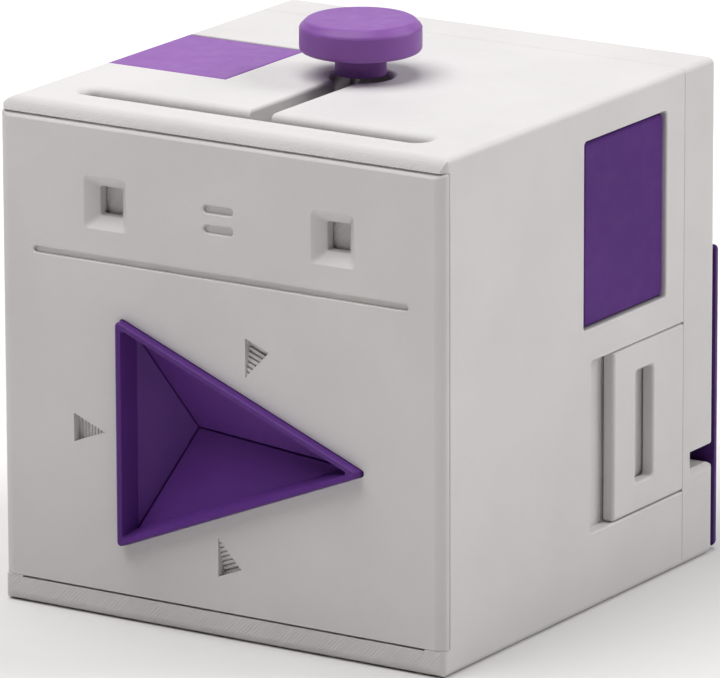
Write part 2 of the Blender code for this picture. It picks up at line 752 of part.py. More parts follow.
def corner_clicker():
    under = CLICKER_TOP - CLICKER_THICK
    item = block(-HALF, CLICKER_RIGHT, CLICKER_FRONT, CLICKER_BACK, under, CLICKER_TOP)
    skirt_inner = -HALF + CLICKER_SKIRT_THICK
    add(item, block(-HALF, skirt_inner, CLICKER_FRONT, CLICKER_BACK, CLICKER_SKIRT_Z, under + GAP))
    half = CLICKER_WEB_HALF
    web_low = PIVOT_Z + half
    inside = under + GAP
    add(item, rod("Y", PIVOT_X, PIVOT_Z, BARREL_RADIUS, CLICKER_FRONT, CLICKER_BACK, SMALL_SIDES))
    add(item, block(PIVOT_X - half, PIVOT_X + half, CLICKER_FRONT, CLICKER_BACK, web_low, inside))
    seat_low = under - SEAT_LENGTH
    add(item, rod("Z", CLICKER_SPRING_X, CLICKER_SPRING_Y, SEAT_RADIUS, seat_low, inside, SMALL_SIDES))
    cut(item, rod("Y", PIVOT_X, PIVOT_Z, PIN_RADIUS + SHANK_GAP, -HALF, HALF, SMALL_SIDES))
    return finish(item, "corner_clicker", purple_plastic("clicker_purple"), (PIVOT_X, 0, PIVOT_Z))


def clicker_fittings():
    reach = EAR_GAP + EAR_THICK - GAP
    start = CLICKER_FRONT - reach
    pin = rod("Y", PIVOT_X, PIVOT_Z, PIN_RADIUS, start, CLICKER_BACK + reach, SMALL_SIDES)
    finish(pin, "clicker_pin", steel("pin_steel"))
    low = SHELF_TOP + GAP
    length = CLICKER_TOP - CLICKER_THICK - GAP - low
    coil("clicker_spring", (CLICKER_SPRING_X, CLICKER_SPRING_Y, low), "Z", length, CLICKER_COIL)


def side_button():
    outline = rounded_rect(BUTTON_FRONT, BUTTON_BACK, BUTTON_LOW, BUTTON_HIGH, BUTTON_ROUND)
    c = BUTTON_CHAMFER
    face = rounded_rect(
        BUTTON_FRONT + c, BUTTON_BACK - c, BUTTON_LOW + c, BUTTON_HIGH - c, BUTTON_ROUND - c / 2
    )
    flange_outer = HALF - WALL - GAP
    flange_inner = flange_outer - BUTTON_FLANGE_THICK
    item = loft("X", ((outline, flange_inner), (outline, BUTTON_FACE - c), (face, BUTTON_FACE)))
    f = BUTTON_FLANGE
    add(item, block(
        flange_inner, flange_outer, BUTTON_FRONT - f, BUTTON_BACK + f, BUTTON_LOW - f, BUTTON_HIGH + f
    ))
    root = flange_inner + GAP
    for y in BUTTON_POSTS:
        add(item, rod("X", y, BUTTON_MID_Z, BUTTON_POST_RADIUS, BUTTON_POST_END, root, SMALL_SIDES))
    origin = (HALF, BUTTON_POSTS[0], BUTTON_MID_Z)
    return finish(item, "side_button", purple_plastic("button_purple"), origin)


def button_bracket():
    """A bridge behind the button: its web guides the two posts and its legs meet the wall."""
    outer = HALF - WALL - GAP
    low = BRACKET_LOW
    high = BRACKET_HIGH
    leg = BRACKET_LEG
    item = block(BRACKET_INNER, BRACKET_OUTER, BRACKET_FRONT, BRACKET_BACK, low, high)
    add(item, block(BRACKET_INNER, outer, BRACKET_FRONT, BRACKET_FRONT + leg, low, high))
    add(item, block(BRACKET_INNER, outer, BRACKET_BACK - leg, BRACKET_BACK, low, high))
    add(item, block(outer - leg, outer, BRACKET_FOOT_FRONT, BRACKET_FRONT + leg / 2, low, high))
    bore = BUTTON_POST_RADIUS + GAP
    for y in BUTTON_POSTS:
        cut(item, rod("X", y, BUTTON_MID_Z, bore, 0.0, BRACKET_OUTER + WALL, SMALL_SIDES))
    for z in BRACKET_SCREWS:
        cut(item, rod("X", BRACKET_SCREW_Y, z, M2_SHANK + SHANK_GAP, BRACKET_OUTER, HALF, SMALL_SIDES))
    return finish(item, "button_bracket", white_plastic("bracket_white"))


def button_fittings():
    outer = HALF - WALL - GAP
    flange_inner = outer - BUTTON_FLANGE_THICK
    start = BRACKET_OUTER + GAP
    length = flange_inner - GAP - start
    for number, y in enumerate(BUTTON_POSTS, 1):
        coil("button_spring_%d" % number, (start, y, BUTTON_MID_Z), "X", length, BUTTON_COIL)
    head = outer - BRACKET_LEG - GAP - M2_HEAD_HEIGHT
    tip = HALF - BRACKET_HOLE_SKIN - GAP
    for number, z in enumerate(BRACKET_SCREWS, 1):
        name = "bracket_screw_%d" % number
        screw(name, "X", BRACKET_SCREW_Y, z, head, tip, (M2_SHANK, M2_HEAD, M2_HEAD_HEIGHT))


def side_slider():
    back = SHELL_BACK - GAP
    inner = HALF - SLIDER_THICK
    item = block(inner, HALF, SLIDER_FRONT, back, RECESS_LOW + GAP, RECESS_HIGH - GAP)
    outline = rounded_rect(GRIP_FRONT, GRIP_BACK, GRIP_LOW, GRIP_HIGH, 0.0003)
    cut(item, prism("X", outline, HALF - WALL, HALF + WALL))
    half = TONGUE_HEIGHT / 2
    for z in TONGUE_LEVELS:
        add(item, block(KEEPER_OUTER + GAP, inner + GAP, TONGUE_FRONT, TONGUE_BACK, z - half, z + half))
        middle = (TONGUE_FRONT + TONGUE_BACK) / 2
        cut(item, rod("X", middle, z, M2_SHANK + SHANK_GAP, KEEPER_INNER, inner - GAP, SMALL_SIDES))
    return finish(item, "side_slider", white_plastic("slider_white"), (HALF, SLIDER_FRONT, RECESS_LOW))


def slider_fittings():
    """The keeper plate inside the wall, and its screws into the slider's tongues."""
    high = RECESS_HIGH - 2 * GAP
    item = block(KEEPER_INNER, KEEPER_OUTER, KEEPER_FRONT, KEEPER_BACK, KEEPER_LOW, high)
    middle = (TONGUE_FRONT + TONGUE_BACK) / 2
    for z in TONGUE_LEVELS:
        cut(item, rod("X", middle, z, M2_SHANK + SHANK_GAP, 0.0, HALF, SMALL_SIDES))
    finish(item, "slider_keeper", white_plastic("keeper_white"), (HALF, SLIDER_FRONT, RECESS_LOW))
    head = KEEPER_INNER - GAP - M2_HEAD_HEIGHT
    for number, z in enumerate(TONGUE_LEVELS, 1):
        tip = HALF - SLIDER_THICK - 2 * GAP
        screw("slider_screw_%d" % number, "X", middle, z, head, tip, (M2_SHANK, M2_HEAD, M2_HEAD_HEIGHT))


def case_screws():
    size = (M3_SHANK, M3_HEAD, M3_HEAD_HEIGHT)
    tip = BOSS_FRONT + BOSS_SKIN + SCREW_END_GAP
    for number, (x, z) in enumerate(COVER_SCREWS, 1):
        screw("cover_screw_%d" % number, "Y", x, z, BACK - GAP, tip, size)
    head = CHASSIS_BACK + GAP + M3_HEAD_HEIGHT
    tip = CHASSIS_FRONT - STANDOFF_HOLE_DEPTH + SCREW_END_GAP
    for number, (x, z) in enumerate(STANDOFFS, 1):
        screw("chassis_screw_%d" % number, "Y", x, z, head, tip, size)


def dish_spring():
    start = FRONT - DISH_PROUD + DISH_DEPTH + DISH_BACK_SKIN + GAP
    length = CHASSIS_FRONT - GAP - start
    coil("dish_spring", (DISH_APEX_X, start, DISH_Z), "Y", length, DISH_COIL)


def build():
    clear_scene()
    main_shell()
    front_panel()
    rear_cover()
    inner_chassis()
    press_dish()
    dish_spring()
    knob_cap()
    knob_fittings()
    corner_clicker()
    clicker_fittings()
    side_button()
    button_bracket()
    button_fittings()
    side_slider()
    slider_fittings()
    rear_door()
    door_stop_pin()
    case_screws()


build()
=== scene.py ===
"""The looks of the desk fidget cube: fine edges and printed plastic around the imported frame. Metres."""
import json
import math

import bmesh
import bpy
from mathutils import Matrix, Vector


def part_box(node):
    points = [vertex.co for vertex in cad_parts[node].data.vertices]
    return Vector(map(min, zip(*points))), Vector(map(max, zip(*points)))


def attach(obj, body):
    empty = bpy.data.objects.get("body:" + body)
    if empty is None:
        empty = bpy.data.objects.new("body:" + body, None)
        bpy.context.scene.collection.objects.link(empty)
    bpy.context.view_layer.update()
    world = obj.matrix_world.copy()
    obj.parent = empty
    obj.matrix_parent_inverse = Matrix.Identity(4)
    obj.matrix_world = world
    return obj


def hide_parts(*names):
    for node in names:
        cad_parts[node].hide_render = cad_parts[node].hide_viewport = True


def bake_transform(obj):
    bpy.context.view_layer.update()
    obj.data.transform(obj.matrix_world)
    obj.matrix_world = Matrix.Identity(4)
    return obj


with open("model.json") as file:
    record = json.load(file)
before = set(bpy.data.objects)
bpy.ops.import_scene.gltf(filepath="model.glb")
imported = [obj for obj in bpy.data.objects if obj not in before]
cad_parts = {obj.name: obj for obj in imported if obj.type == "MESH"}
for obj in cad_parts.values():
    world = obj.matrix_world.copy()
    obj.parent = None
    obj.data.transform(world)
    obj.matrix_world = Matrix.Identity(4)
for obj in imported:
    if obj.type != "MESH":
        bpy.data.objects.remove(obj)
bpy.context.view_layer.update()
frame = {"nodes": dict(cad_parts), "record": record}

# The cube and its walls, from the frame
shell_low, shell_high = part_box("main_shell")
HALF = shell_high.x
SIDE = shell_high.z
FRONT = shell_low.y
SHELL_BACK = shell_high.y
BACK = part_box("rear_cover")[1].y
WALL = 0.003
GAP = 0.0003
HAIR = 0.00005
SLIVER = 0.000001
NEARLY = 0.98
OVERLAP = 0.001

# Edge roundings of the white pieces
OUTER_ROUND = 0.0010
LEFT_ROUND = 0.0026
SEAM_GROOVE = 0.00010
PANEL_GROOVE = 0.00030
LIP_GAP = 0.00006
LIP_ROUND = 0.0019
BASE_LIP_ROUND = 0.0010
BACK_ROUND = 0.0013
LIP_SPLIT = 0.0620
BASE_ROUND = 0.0014
LIP_RUN = 0.0020
LIP_BEVEL_FOOT = 0.0003
LIP_STEEP = 25
SLOT_ROUND = 0.0012
STEM_ROUND = 0.0006
HOLE_ROUND = 0.0009
SOFT_EDGE = 0.00025
MOUTH_STEEP = 84

# Screws, their holes and the bosses inside the shell
M3_SHANK = 0.0013
M3_HOLE = 0.00145
M3_CLEARANCE = 0.0016
M3_HEAD = 0.0027
M3_HEAD_HEIGHT = 0.0018
M3_HEAD_CHAMFER = 0.0003
M3_SINK = 0.0024
M2_HOLE = 0.00085
BOSS_FRONT = 0.014
BOSS_HALF = 0.004
BOSS_SKIN = 0.002
RIB_INNER = 0.029
RIB_DEPTH = 0.0027
RIB_LEVELS = (0.014, 0.036)

# Front panel
panel_low, panel_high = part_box("front_panel")
PANEL_RIM = 0.00126
PANEL_EDGE = 0.0012
PANEL_SIDE_RUN = 0.0016
PANEL_TOP_RUN = 0.0008
PANEL_CORNER = 0.0004
PANEL_STEEP = 20
PANEL_BACK = FRONT + WALL
MOUTH_HALF = 0.0295
MOUTH_Z = 0.0496
MOUTH_HEIGHT = 0.00092
MOUTH_DEPTH = 0.0005
MOUTH_ROUND = 0.0002
EYE_X = 0.0179
EYE_Z = 0.0572
EYE_OUTER = 0.00340
EYE_INNER = 0.00180
EYE_INNER_HIGH = 0.00202
EYE_DEPTH = 0.0016
EYE_LIP = 0.0002
EYE_CORNER = 0.0007
EYE_HOLE_CORNER = 0.0003
NOSE_WIDTH = 0.0046
NOSE_HEIGHT = 0.00115
NOSE_LEVELS = (0.0587, 0.0560)
NOSE_DEPTH = 0.00055
NOSE_ROUND = 0.00025
MARK_HALF_BASE = 0.0020
MARK_LENGTH = 0.0050
MARK_STEPS = 8
MARK_STEP_DEPTH = 0.00018
MARK_NOTCH = 0.00022
MARK_NOTCH_DEPTH = 0.0003
MARK_LIMIT = WALL * 2 / 3
MARKS = ((-0.0208, 0.0258, 0.0), (0.0051, 0.0389, -111.7), (0.0006, 0.0116, 111.7))
STANDOFF_RADIUS = 0.003
STANDOFF_X = 0.026
STANDOFF_LEVELS = (0.008, 0.0445)

# Press dish
dish_low, dish_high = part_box("press_dish")
DISH_LEFT = -0.0157
DISH_LENGTH = 0.0389
DISH_HALF_BASE = 0.0157
DISH_DROP = 0.0002
DISH_Z = (dish_low.z + dish_high.z) / 2 - DISH_DROP
DISH_FRONT = dish_low.y
DISH_RIM_WIDTH = 0.0005
DISH_RIM_ROUND = 0.0003
DISH_WALL_DEPTH = 0.003
DISH_WALL_TAPER = 0.0007
DISH_DEPTH = 0.0091
DISH_APEX_X = -0.0083
DISH_FLANGE = 0.0012
DISH_FLANGE_CORNER = 0.001
DISH_FLOOR_THICK = 0.0019
DISH_CORNER = 0.0003
DISH_EDGE = 0.0002
DISH_POST_RADIUS = 0.003
DISH_HOLE_GAP = 0.0001
DISH_HOLE_ROUND = 0.0001
DISH_TIP_ROUND = 0.0005
DISH_CREASE = 0.00017
DISH_CREASE_DEPTH = 0.0005

# Top slot, knob and clicker
SLOT_HALF = 0.0017
SLOT_ARM = 0.0271
SLOT_CROSS_Y = -0.0263
KNOB_HOLE_RADIUS = 0.0042
knob_low, knob_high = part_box("knob_cap")
CAP_RADIUS = knob_high.x
CAP_TOP = knob_high.z
CAP_BOTTOM = SIDE + 0.0034
CAP_CHAMFER = 0.0010
CAP_UNDER = 0.0004
CAP_SOFT = 0.00015
NECK_RADIUS = 0.0035
KNOB_BORE = 0.00165
KNOB_BORE_TOP = SIDE + 0.0060
clicker_low, clicker_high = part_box("corner_clicker")
CLICKER_THICK = 0.0025
CLICKER_SKIRT_THICK = 0.0024
PIVOT_X = -0.0167
PIVOT_Z = 0.0644
PIN_HOLE = 0.00115
BARREL_RADIUS = 0.0022
PIN_REACH = 0.020
SPRING_SEAT = (-0.0285, -0.0014)
SPRING_SEAT_RADIUS = 0.0013
SPRING_SEAT_HEIGHT = 0.0012
SPRING_SHELF = (-0.0245, -0.005, 0.0022, 0.052, 0.054)
EAR = 0.0027
EAR_GAP = 0.001
EAR_LOW = 0.0618
CLICKER_ROUND = 0.0003
CLICKER_CORNER = 0.0004
CLICKER_WEB = 0.0012
CLICKER_SWING = 0.0016

# Right side
button_low, button_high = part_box("side_button")
BUTTON_FRONT = 0.0005
BUTTON_BACK = 0.0213
BUTTON_LOW = 0.0395
BUTTON_HIGH = 0.0648
BUTTON_FACE = button_high.x
BUTTON_POSTS = (0.006, 0.016)
BUTTON_POST_RADIUS = 0.0016
BUTTON_CORNER = 0.0005
BUTTON_HOLE_CORNER = 0.0006
BUTTON_CHAMFER = 0.0005
FLANGE_THICK = 0.0015
FLANGE_REACH = 0.0012
slider_low, slider_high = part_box("side_slider")
RECESS_FRONT = 0.0021
RECESS_LOW = 0.0107
RECESS_HIGH = 0.0346
RECESS_DEPTH = 0.0019
RECESS_CORNER = 0.0005
SLIDER_THICK = 0.0016
SLIDER_ROUND = 0.0005
SLIDER_CORNER = 0.0003
GRIP = (0.0139, 0.0184, 0.0149, 0.0306)
GRIP_ROUND = 0.0004
GRIP_CORNER = 0.0006
RECESS_SLIT = (0.0078, 0.0081, 0.0110, 0.0343)
TONGUES = ((0.0118, 0.0144), (0.0311, 0.0337))
TONGUE_FRONT = 0.0193
TONGUE_BACK = 0.0237
SLIDER_TRAVEL = 0.0058
BRACKET_SCREWS = (0.0465, 0.0575)
BRACKET_SCREW_Y = -0.0062
BRACKET_SKIN = 0.0008

# Rear cover and door
GROOVE_LOW = 0.0130
GROOVE_HIGH = 0.0158
GROOVE_FLOOR = 0.0283
GROOVE_BEVEL = 0.0009
UNDERCUT_BACK = 0.0306
UNDERCUT_MARGIN = 0.0018
UNDERCUT_RIGHT = 0.022
STASH = (-0.030, -0.010, 0.020, 0.0415)
STASH_FLOOR = 0.0285
STASH_ROUND = 0.0005
STASH_CORNER = 0.0015
COVER_SCREWS = ((-0.0277, 0.0073), (0.0277, 0.0073), (-0.019, 0.0625), (0.019, 0.0625))
door_low, door_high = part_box("rear_door")
DOOR_CHAMFER = 0.0012
DOOR_CORNER = 0.0006
DOOR_BACK_CORNER = 0.0004
RUNNER = (-0.027, -0.002)
STOP_PIN_X = -0.0305
STOP_PIN_LEVELS = (0.0092, 0.0196)

# Springs
SPRING_STEPS = 24
SPRING_CLOSED = 0.9
WIRE_SIDES = 8

# Floor, painted darker near the cube as a painted shadow
FLOOR_SIZE = 30.0
FLOOR_NEAR = 0.06
FLOOR_FAR = 0.24
# Painted shadow: the floor's colour near the cube is darker than away from it, which also dims the light
# the floor bounces onto the cube
FLOOR_PAINTED_SHADOW = (0.68, 0.67, 0.66)
FLOOR_AWAY = (0.90, 0.89, 0.88)

# Printing
SHARP_ANGLE = 32
LAYER = 0.0002
BEAD = 0.000018
TRACK = 0.00042


# ---------------------------------------------------------------- outlines

def circle(u, v, radius, sides=64):
    step = 2 * math.pi / sides
    return [(u + radius * math.cos(i * step), v + radius * math.sin(i * step)) for i in range(sides)]


def rectangle(u0, u1, v0, v1):
    return [(u0, v0), (u1, v0), (u1, v1), (u0, v1)]


def grown(points, distance):
    """A convex outline, counted anticlockwise, with every side moved outwards by a distance."""
    count = len(points)
    result = []
    for i in range(count):
        before = Vector(points[i - 1])
        here = Vector(points[i])
        after = Vector(points[(i + 1) % count])
        first = (here - before).normalized()
        second = (after - here).normalized()
        out_first = Vector((first.y, -first.x))
        out_second = Vector((second.y, -second.x))
        bisector = (out_first + out_second).normalized()
        reach = distance / max(bisector.dot(out_first), 0.1)
        result.append(tuple(here + bisector * reach))
    return result


def rounded(points, radius, steps=6):
    """A convex outline with each corner turned into an arc of the radius."""
    if radius <= 0:
        return list(points)
    count = len(points)
    result = []
    for i in range(count):
        here = Vector(points[i])
        back = (Vector(points[i - 1]) - here).normalized()
        ahead = (Vector(points[(i + 1) % count]) - here).normalized()
        half = math.acos(max(-1.0, min(1.0, back.dot(ahead)))) / 2
        centre = here + (back + ahead).normalized() * (radius / math.sin(half))
        start = here + back * (radius / math.tan(half)) - centre
        end = here + ahead * (radius / math.tan(half)) - centre
        turn = math.atan2(start.x * end.y - start.y * end.x, start.dot(end))
        for k in range(steps + 1):
            spin = Matrix.Rotation(turn * k / steps, 2)
            result.append(tuple(centre + spin @ start))
    return result


def triangle(inset=0.0, radius=DISH_TIP_ROUND):
    """The dish outline in X and Z, moved inwards by a distance, with its corners rounded."""
    tip = DISH_LEFT + DISH_LENGTH
    corners = [(DISH_LEFT, DISH_Z - DISH_HALF_BASE), (tip, DISH_Z), (DISH_LEFT, DISH_Z + DISH_HALF_BASE)]
    return rounded(grown(corners, -inset), radius, 4)


# ---------------------------------------------------------------- solids

def place(axis, u, v, along):
    if axis == "X":
        return Vector((along, u, v))
    if axis == "Y":
        return Vector((u, along, v))
    return Vector((u, v, along))


def solid_from(bm):
    bmesh.ops.recalc_face_normals(bm, faces=bm.faces)
    mesh = bpy.data.meshes.new("solid")
    bm.to_mesh(mesh)
    bm.free()
    item = bpy.data.objects.new("solid", mesh)
    bpy.context.scene.collection.objects.link(item)
    return item


def loft(axis, sections):
    """Skin a row of outlines, each given as (points, position along the axis), and cap both ends."""
    bm = bmesh.new()
    rings = []
    for points, along in sections:
        rings.append([bm.verts.new(place(axis, u, v, along)) for u, v in points])
    for low, high in zip(rings, rings[1:]):
        count = len(low)
        for i in range(count):
            j = (i + 1) % count
            bm.faces.new((low[i], low[j], high[j], high[i]))
    bm.faces.new(rings[0])
    bm.faces.new(rings[-1])
    return solid_from(bm)


def prism(axis, points, start, end):
    return loft(axis, ((points, start), (points, end)))


def block(x0, x1, y0, y1, z0, z1):
    return prism("Z", rectangle(x0, x1, y0, y1), z0, z1)


def rod(axis, u, v, radius, start, end, sides=48):
    return prism(axis, circle(u, v, radius, sides), start, end)


def arc_rings(radius, steps=6, last=90):
    """Distances (across, deep) of a quarter round, from its steep end to its flat end."""
    rings = []
    for i in range(steps + 1):
        angle = math.radians(last * i / steps)
        rings.append((radius * (1 - math.cos(angle)), radius * (1 - math.sin(angle))))
    return rings


def crown_rings(first, steps=10):
    """Shares (across, deep) of a round, from its flat end at 90 degrees to the first angle."""
    rings = []
    for i in range(steps + 1):
        angle = math.radians(90 + (first - 90) * i / steps)
        across = 1 - math.cos(angle) / math.cos(math.radians(first))
        deep = (1 - math.sin(angle)) / (1 - math.sin(math.radians(first)))
        rings.append((across, deep))
    return rings


def mouth_rings(radius):
    """The same round for a mouth: it ends a hair above the surface, so that its cutter has no thin rim."""
    rings = arc_rings(radius, 6, MOUTH_STEEP)
    across, deep = rings[-1]
    run = across + (deep + HAIR) * math.tan(math.radians(MOUTH_STEEP))
    return rings + [(run, -HAIR)]


def mouth_cutter(axis, points, surface, outward, radius, depth, corner=0.0, corner_steps=6):
    """A cutter for a hole or pocket whose edge at the surface is rounded over by the radius."""
    sections = [(rounded(points, corner, corner_steps), surface - outward * depth)]
    for across, deep in mouth_rings(radius):
        outline = rounded(grown(points, across), corner + across if corner else 0.0, corner_steps)
        sections.append((outline, surface - outward * deep))
    return loft(axis, sections)


def round_mouth(axis, u, v, hole_radius, surface, outward, radius, depth):
    """The same for a round hole."""
    sections = [(circle(u, v, hole_radius), surface - outward * depth)]
    for across, deep in mouth_rings(radius):
        sections.append((circle(u, v, hole_radius + across), surface - outward * deep))
    return loft(axis, sections)


def soft_plate(axis, points, back, face, outward, radius, corner=0.0):
    """A plate whose edges at its face are rounded over."""
    sections = [(rounded(points, corner), back)]
    for across, deep in arc_rings(radius):
        inner = rounded(grown(points, -across), max(corner - across, corner * 0.3))
        sections.append((inner, face - outward * deep))
    return loft(axis, sections)


def turned(profile, sides=128):
    """A solid turned about the Z axis from points (radius, z), listed from low to high."""
    sections = [(circle(0, 0, radius, sides), z) for radius, z in profile]
    return loft("Z", sections)


def boolean(item, tool, operation):
    modifier = item.modifiers.new("boolean", "BOOLEAN")
    modifier.operation = operation
    modifier.solver = "EXACT"
    modifier.object = tool
    bpy.context.view_layer.update()
    graph = bpy.context.evaluated_depsgraph_get()
    mesh = bpy.data.meshes.new_from_object(item.evaluated_get(graph))
    item.modifiers.clear()
    item.data = mesh
    bpy.data.objects.remove(tool, do_unlink=True)
    return item


def add(item, *tools):
    for tool in tools:
        boolean(item, tool, "UNION")
    return item


def cut(item, *tools):
    for tool in tools:
        boolean(item, tool, "DIFFERENCE")
    return item


def common(item, *tools):
    for tool in tools:
        boolean(item, tool, "INTERSECT")
    return item


def cleaned(item):
    """Close the hair-thin slivers that cutting leaves behind."""
    bm = bmesh.new()
    bm.from_mesh(item.data)
    bmesh.ops.remove_doubles(bm, verts=bm.verts, dist=SLIVER)
    bmesh.ops.dissolve_degenerate(bm, edges=bm.edges, dist=SLIVER)
    bm.to_mesh(item.data)
    bm.free()
    return item


def finished(item, name, node, surface, body):
    """Name a piece, smooth its rounds, give it its surface and let it stand for its CAD node."""
    cleaned(item)
    item.name = name
    item.data.name = name
    item.data.materials.clear()
    item.data.materials.append(surface)
    item.data.shade_smooth()
    item.data.set_sharp_from_angle(angle=math.radians(SHARP_ANGLE))
    weighted = item.modifiers.new("even_shading", "WEIGHTED_NORMAL")
    weighted.keep_sharp = True
    weighted.weight = 100
    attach(item, body)
    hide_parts(node)
    return item


# ---------------------------------------------------------------- materials

class Graph:
    """Small helper that adds shader nodes to a material."""

    def __init__(self, name):
        self.material = bpy.data.materials.new(name)
        self.material.use_nodes = True
        self.tree = self.material.node_tree
        self.shader = self.tree.nodes["Principled BSDF"]

    def node(self, kind, **settings):
        made = self.tree.nodes.new(kind)
        for key, value in settings.items():
            setattr(made, key, value)
        return made

    def link(self, source, target):
        if isinstance(source, (int, float)):
            target.default_value = source
        else:
            self.tree.links.new(source, target)

    def math(self, operation, first, second=0.0, third=0.0):
        made = self.node("ShaderNodeMath", operation=operation)
        self.link(first, made.inputs[0])
        self.link(second, made.inputs[1])
        self.link(third, made.inputs[2])
        return made.outputs[0]

    def noise(self, vector, scale, detail=2.0, rough=0.5):
        made = self.node("ShaderNodeTexNoise")
        self.link(vector, made.inputs["Vector"])
        made.inputs["Scale"].default_value = scale
        made.inputs["Detail"].default_value = detail
        made.inputs["Roughness"].default_value = rough
        return made.outputs["Fac"]

    def ramp(self, value, low, high, to_low, to_high):
        made = self.node("ShaderNodeMapRange")
        self.link(value, made.inputs["Value"])
        made.inputs["From Min"].default_value = low
        made.inputs["From Max"].default_value = high
        made.inputs["To Min"].default_value = to_low
        made.inputs["To Max"].default_value = to_high
        return made.outputs[0]


AXES = {"X": 0, "Y": 1, "Z": 2}


def printed_plastic(
    name, dark, light, build_axis, roughness, raster,
    layer_height=0.5, grain=0.35, gloss=0.4, first_layers=None
):
    """Printed plastic: layer lines along the build axis, tracks at 45 degrees on the faces across it.

    With first_layers the tracks show only up to that position along the build axis.
    """
    g = Graph(name)
    coordinates = g.node("ShaderNodeTexCoord")
    position = coordinates.outputs["Object"]
    split = g.node("ShaderNodeSeparateXYZ")
    g.link(position, split.inputs[0])
    normal_split = g.node("ShaderNodeSeparateXYZ")
    g.link(coordinates.outputs["Normal"], normal_split.inputs[0])
    build = AXES[build_axis]
    across = [i for i in range(3) if i != build]

    facing = g.math("ABSOLUTE", normal_split.outputs[build])
    flat = g.ramp(facing, 0.80, 0.97, 0.0, 1.0)
    sloped = g.math("SUBTRACT", 1.0, flat)

    drift = g.noise(position, 180.0, 2.0)
    height = split.outputs[build]
    wander = g.math("MULTIPLY_ADD", drift, LAYER * 0.25, height)
    turn = g.math("MULTIPLY", wander, 2 * math.pi / LAYER)
    layers = g.math("MULTIPLY", g.math("SINE", turn), layer_height)
    layer_part = g.math("MULTIPLY", layers, sloped)

    diagonal = g.math("SUBTRACT", split.outputs[across[0]], split.outputs[across[1]])
    wobble = g.math("MULTIPLY_ADD", drift, TRACK * 0.5, diagonal)
    track_turn = g.math("MULTIPLY", wobble, 2 * math.pi / (TRACK * math.sqrt(2)))
    tracks = g.math("MULTIPLY", g.math("SINE", track_turn), raster)
    track_part = g.math("MULTIPLY", tracks, flat)
    if first_layers is not None:
        track_part = g.math("MULTIPLY", track_part, g.math("LESS_THAN", height, first_layers))

    fine = g.noise(position, 2600.0, 3.0, 0.6)
    broad = g.noise(position, 420.0, 4.0, 0.55)
    rough_part = g.math("MULTIPLY_ADD", fine, grain, g.math("MULTIPLY", broad, grain * 1.4))
    relief = g.math("ADD", g.math("ADD", layer_part, track_part), rough_part)
    bump = g.node("ShaderNodeBump")
    bump.inputs["Strength"].default_value = 0.6
    bump.inputs["Distance"].default_value = 0.000035
    g.link(relief, bump.inputs["Height"])
    g.link(bump.outputs[0], g.shader.inputs["Normal"])

    cloud = g.noise(position, 55.0, 3.0, 0.5)
    streak = g.math("MULTIPLY_ADD", g.math("ADD", layer_part, track_part), 0.10, cloud)
    mixed = g.math("MULTIPLY_ADD", fine, 0.25, streak)
    blend = g.ramp(mixed, 0.30, 0.95, 0.0, 1.0)
    colour = g.node("ShaderNodeMix", data_type="RGBA")
    g.link(blend, colour.inputs["Factor"])
    colour.inputs["A"].default_value = (*dark, 1.0)
    colour.inputs["B"].default_value = (*light, 1.0)
    g.link(colour.outputs["Result"], g.shader.inputs["Base Color"])
    g.link(g.ramp(broad, 0.3, 0.7, roughness - 0.06, roughness + 0.06), g.shader.inputs["Roughness"])
    g.shader.inputs["IOR"].default_value = 1.46
    g.shader.inputs["Specular IOR Level"].default_value = gloss
    return g.material


def plated_steel(name, colour, roughness):
    """Turned or drawn steel with fine streaks and slightly uneven plating."""
    g = Graph(name)
    position = g.node("ShaderNodeTexCoord").outputs["Object"]
    fine = g.noise(position, 3000.0, 2.0)
    broad = g.noise(position, 600.0, 3.0)
    g.link(g.ramp(fine, 0.3, 0.7, roughness - 0.08, roughness + 0.12), g.shader.inputs["Roughness"])
    mix = g.node("ShaderNodeMix", data_type="RGBA")
    g.link(g.ramp(broad, 0.35, 0.65, 0.0, 1.0), mix.inputs["Factor"])
    mix.inputs["A"].default_value = (*[c * 0.82 for c in colour], 1.0)
    mix.inputs["B"].default_value = (*colour, 1.0)
    g.link(mix.outputs["Result"], g.shader.inputs["Base Color"])
    g.shader.inputs["Metallic"].default_value = 1.0
    bump = g.node("ShaderNodeBump")
    bump.inputs["Strength"].default_value = 0.3
    bump.inputs["Distance"].default_value = 0.00001
    g.link(fine, bump.inputs["Height"])
    g.link(bump.outputs[0], g.shader.inputs["Normal"])
    return g.material


WHITE_DARK = (0.588, 0.567, 0.567)
WHITE_LIGHT = (0.648, 0.626, 0.625)
PURPLE_DARK = (0.073, 0.0205, 0.154)
PURPLE_LIGHT = (0.098, 0.0285, 0.196)
DOOR_DARK = (0.061, 0.0170, 0.135)
DOOR_LIGHT = (0.082, 0.0235, 0.170)
DISH_DARK = (0.084, 0.024, 0.175)
DISH_LIGHT = (0.112, 0.033, 0.222)
# Painted light: the knob and the top tile get a lighter copy of the purple, standing for the top light and
# sheen they catch
TOP_LIT_PURPLE_DARK = (0.208, 0.076, 0.322)
TOP_LIT_PURPLE_LIGHT = (0.258, 0.098, 0.380)

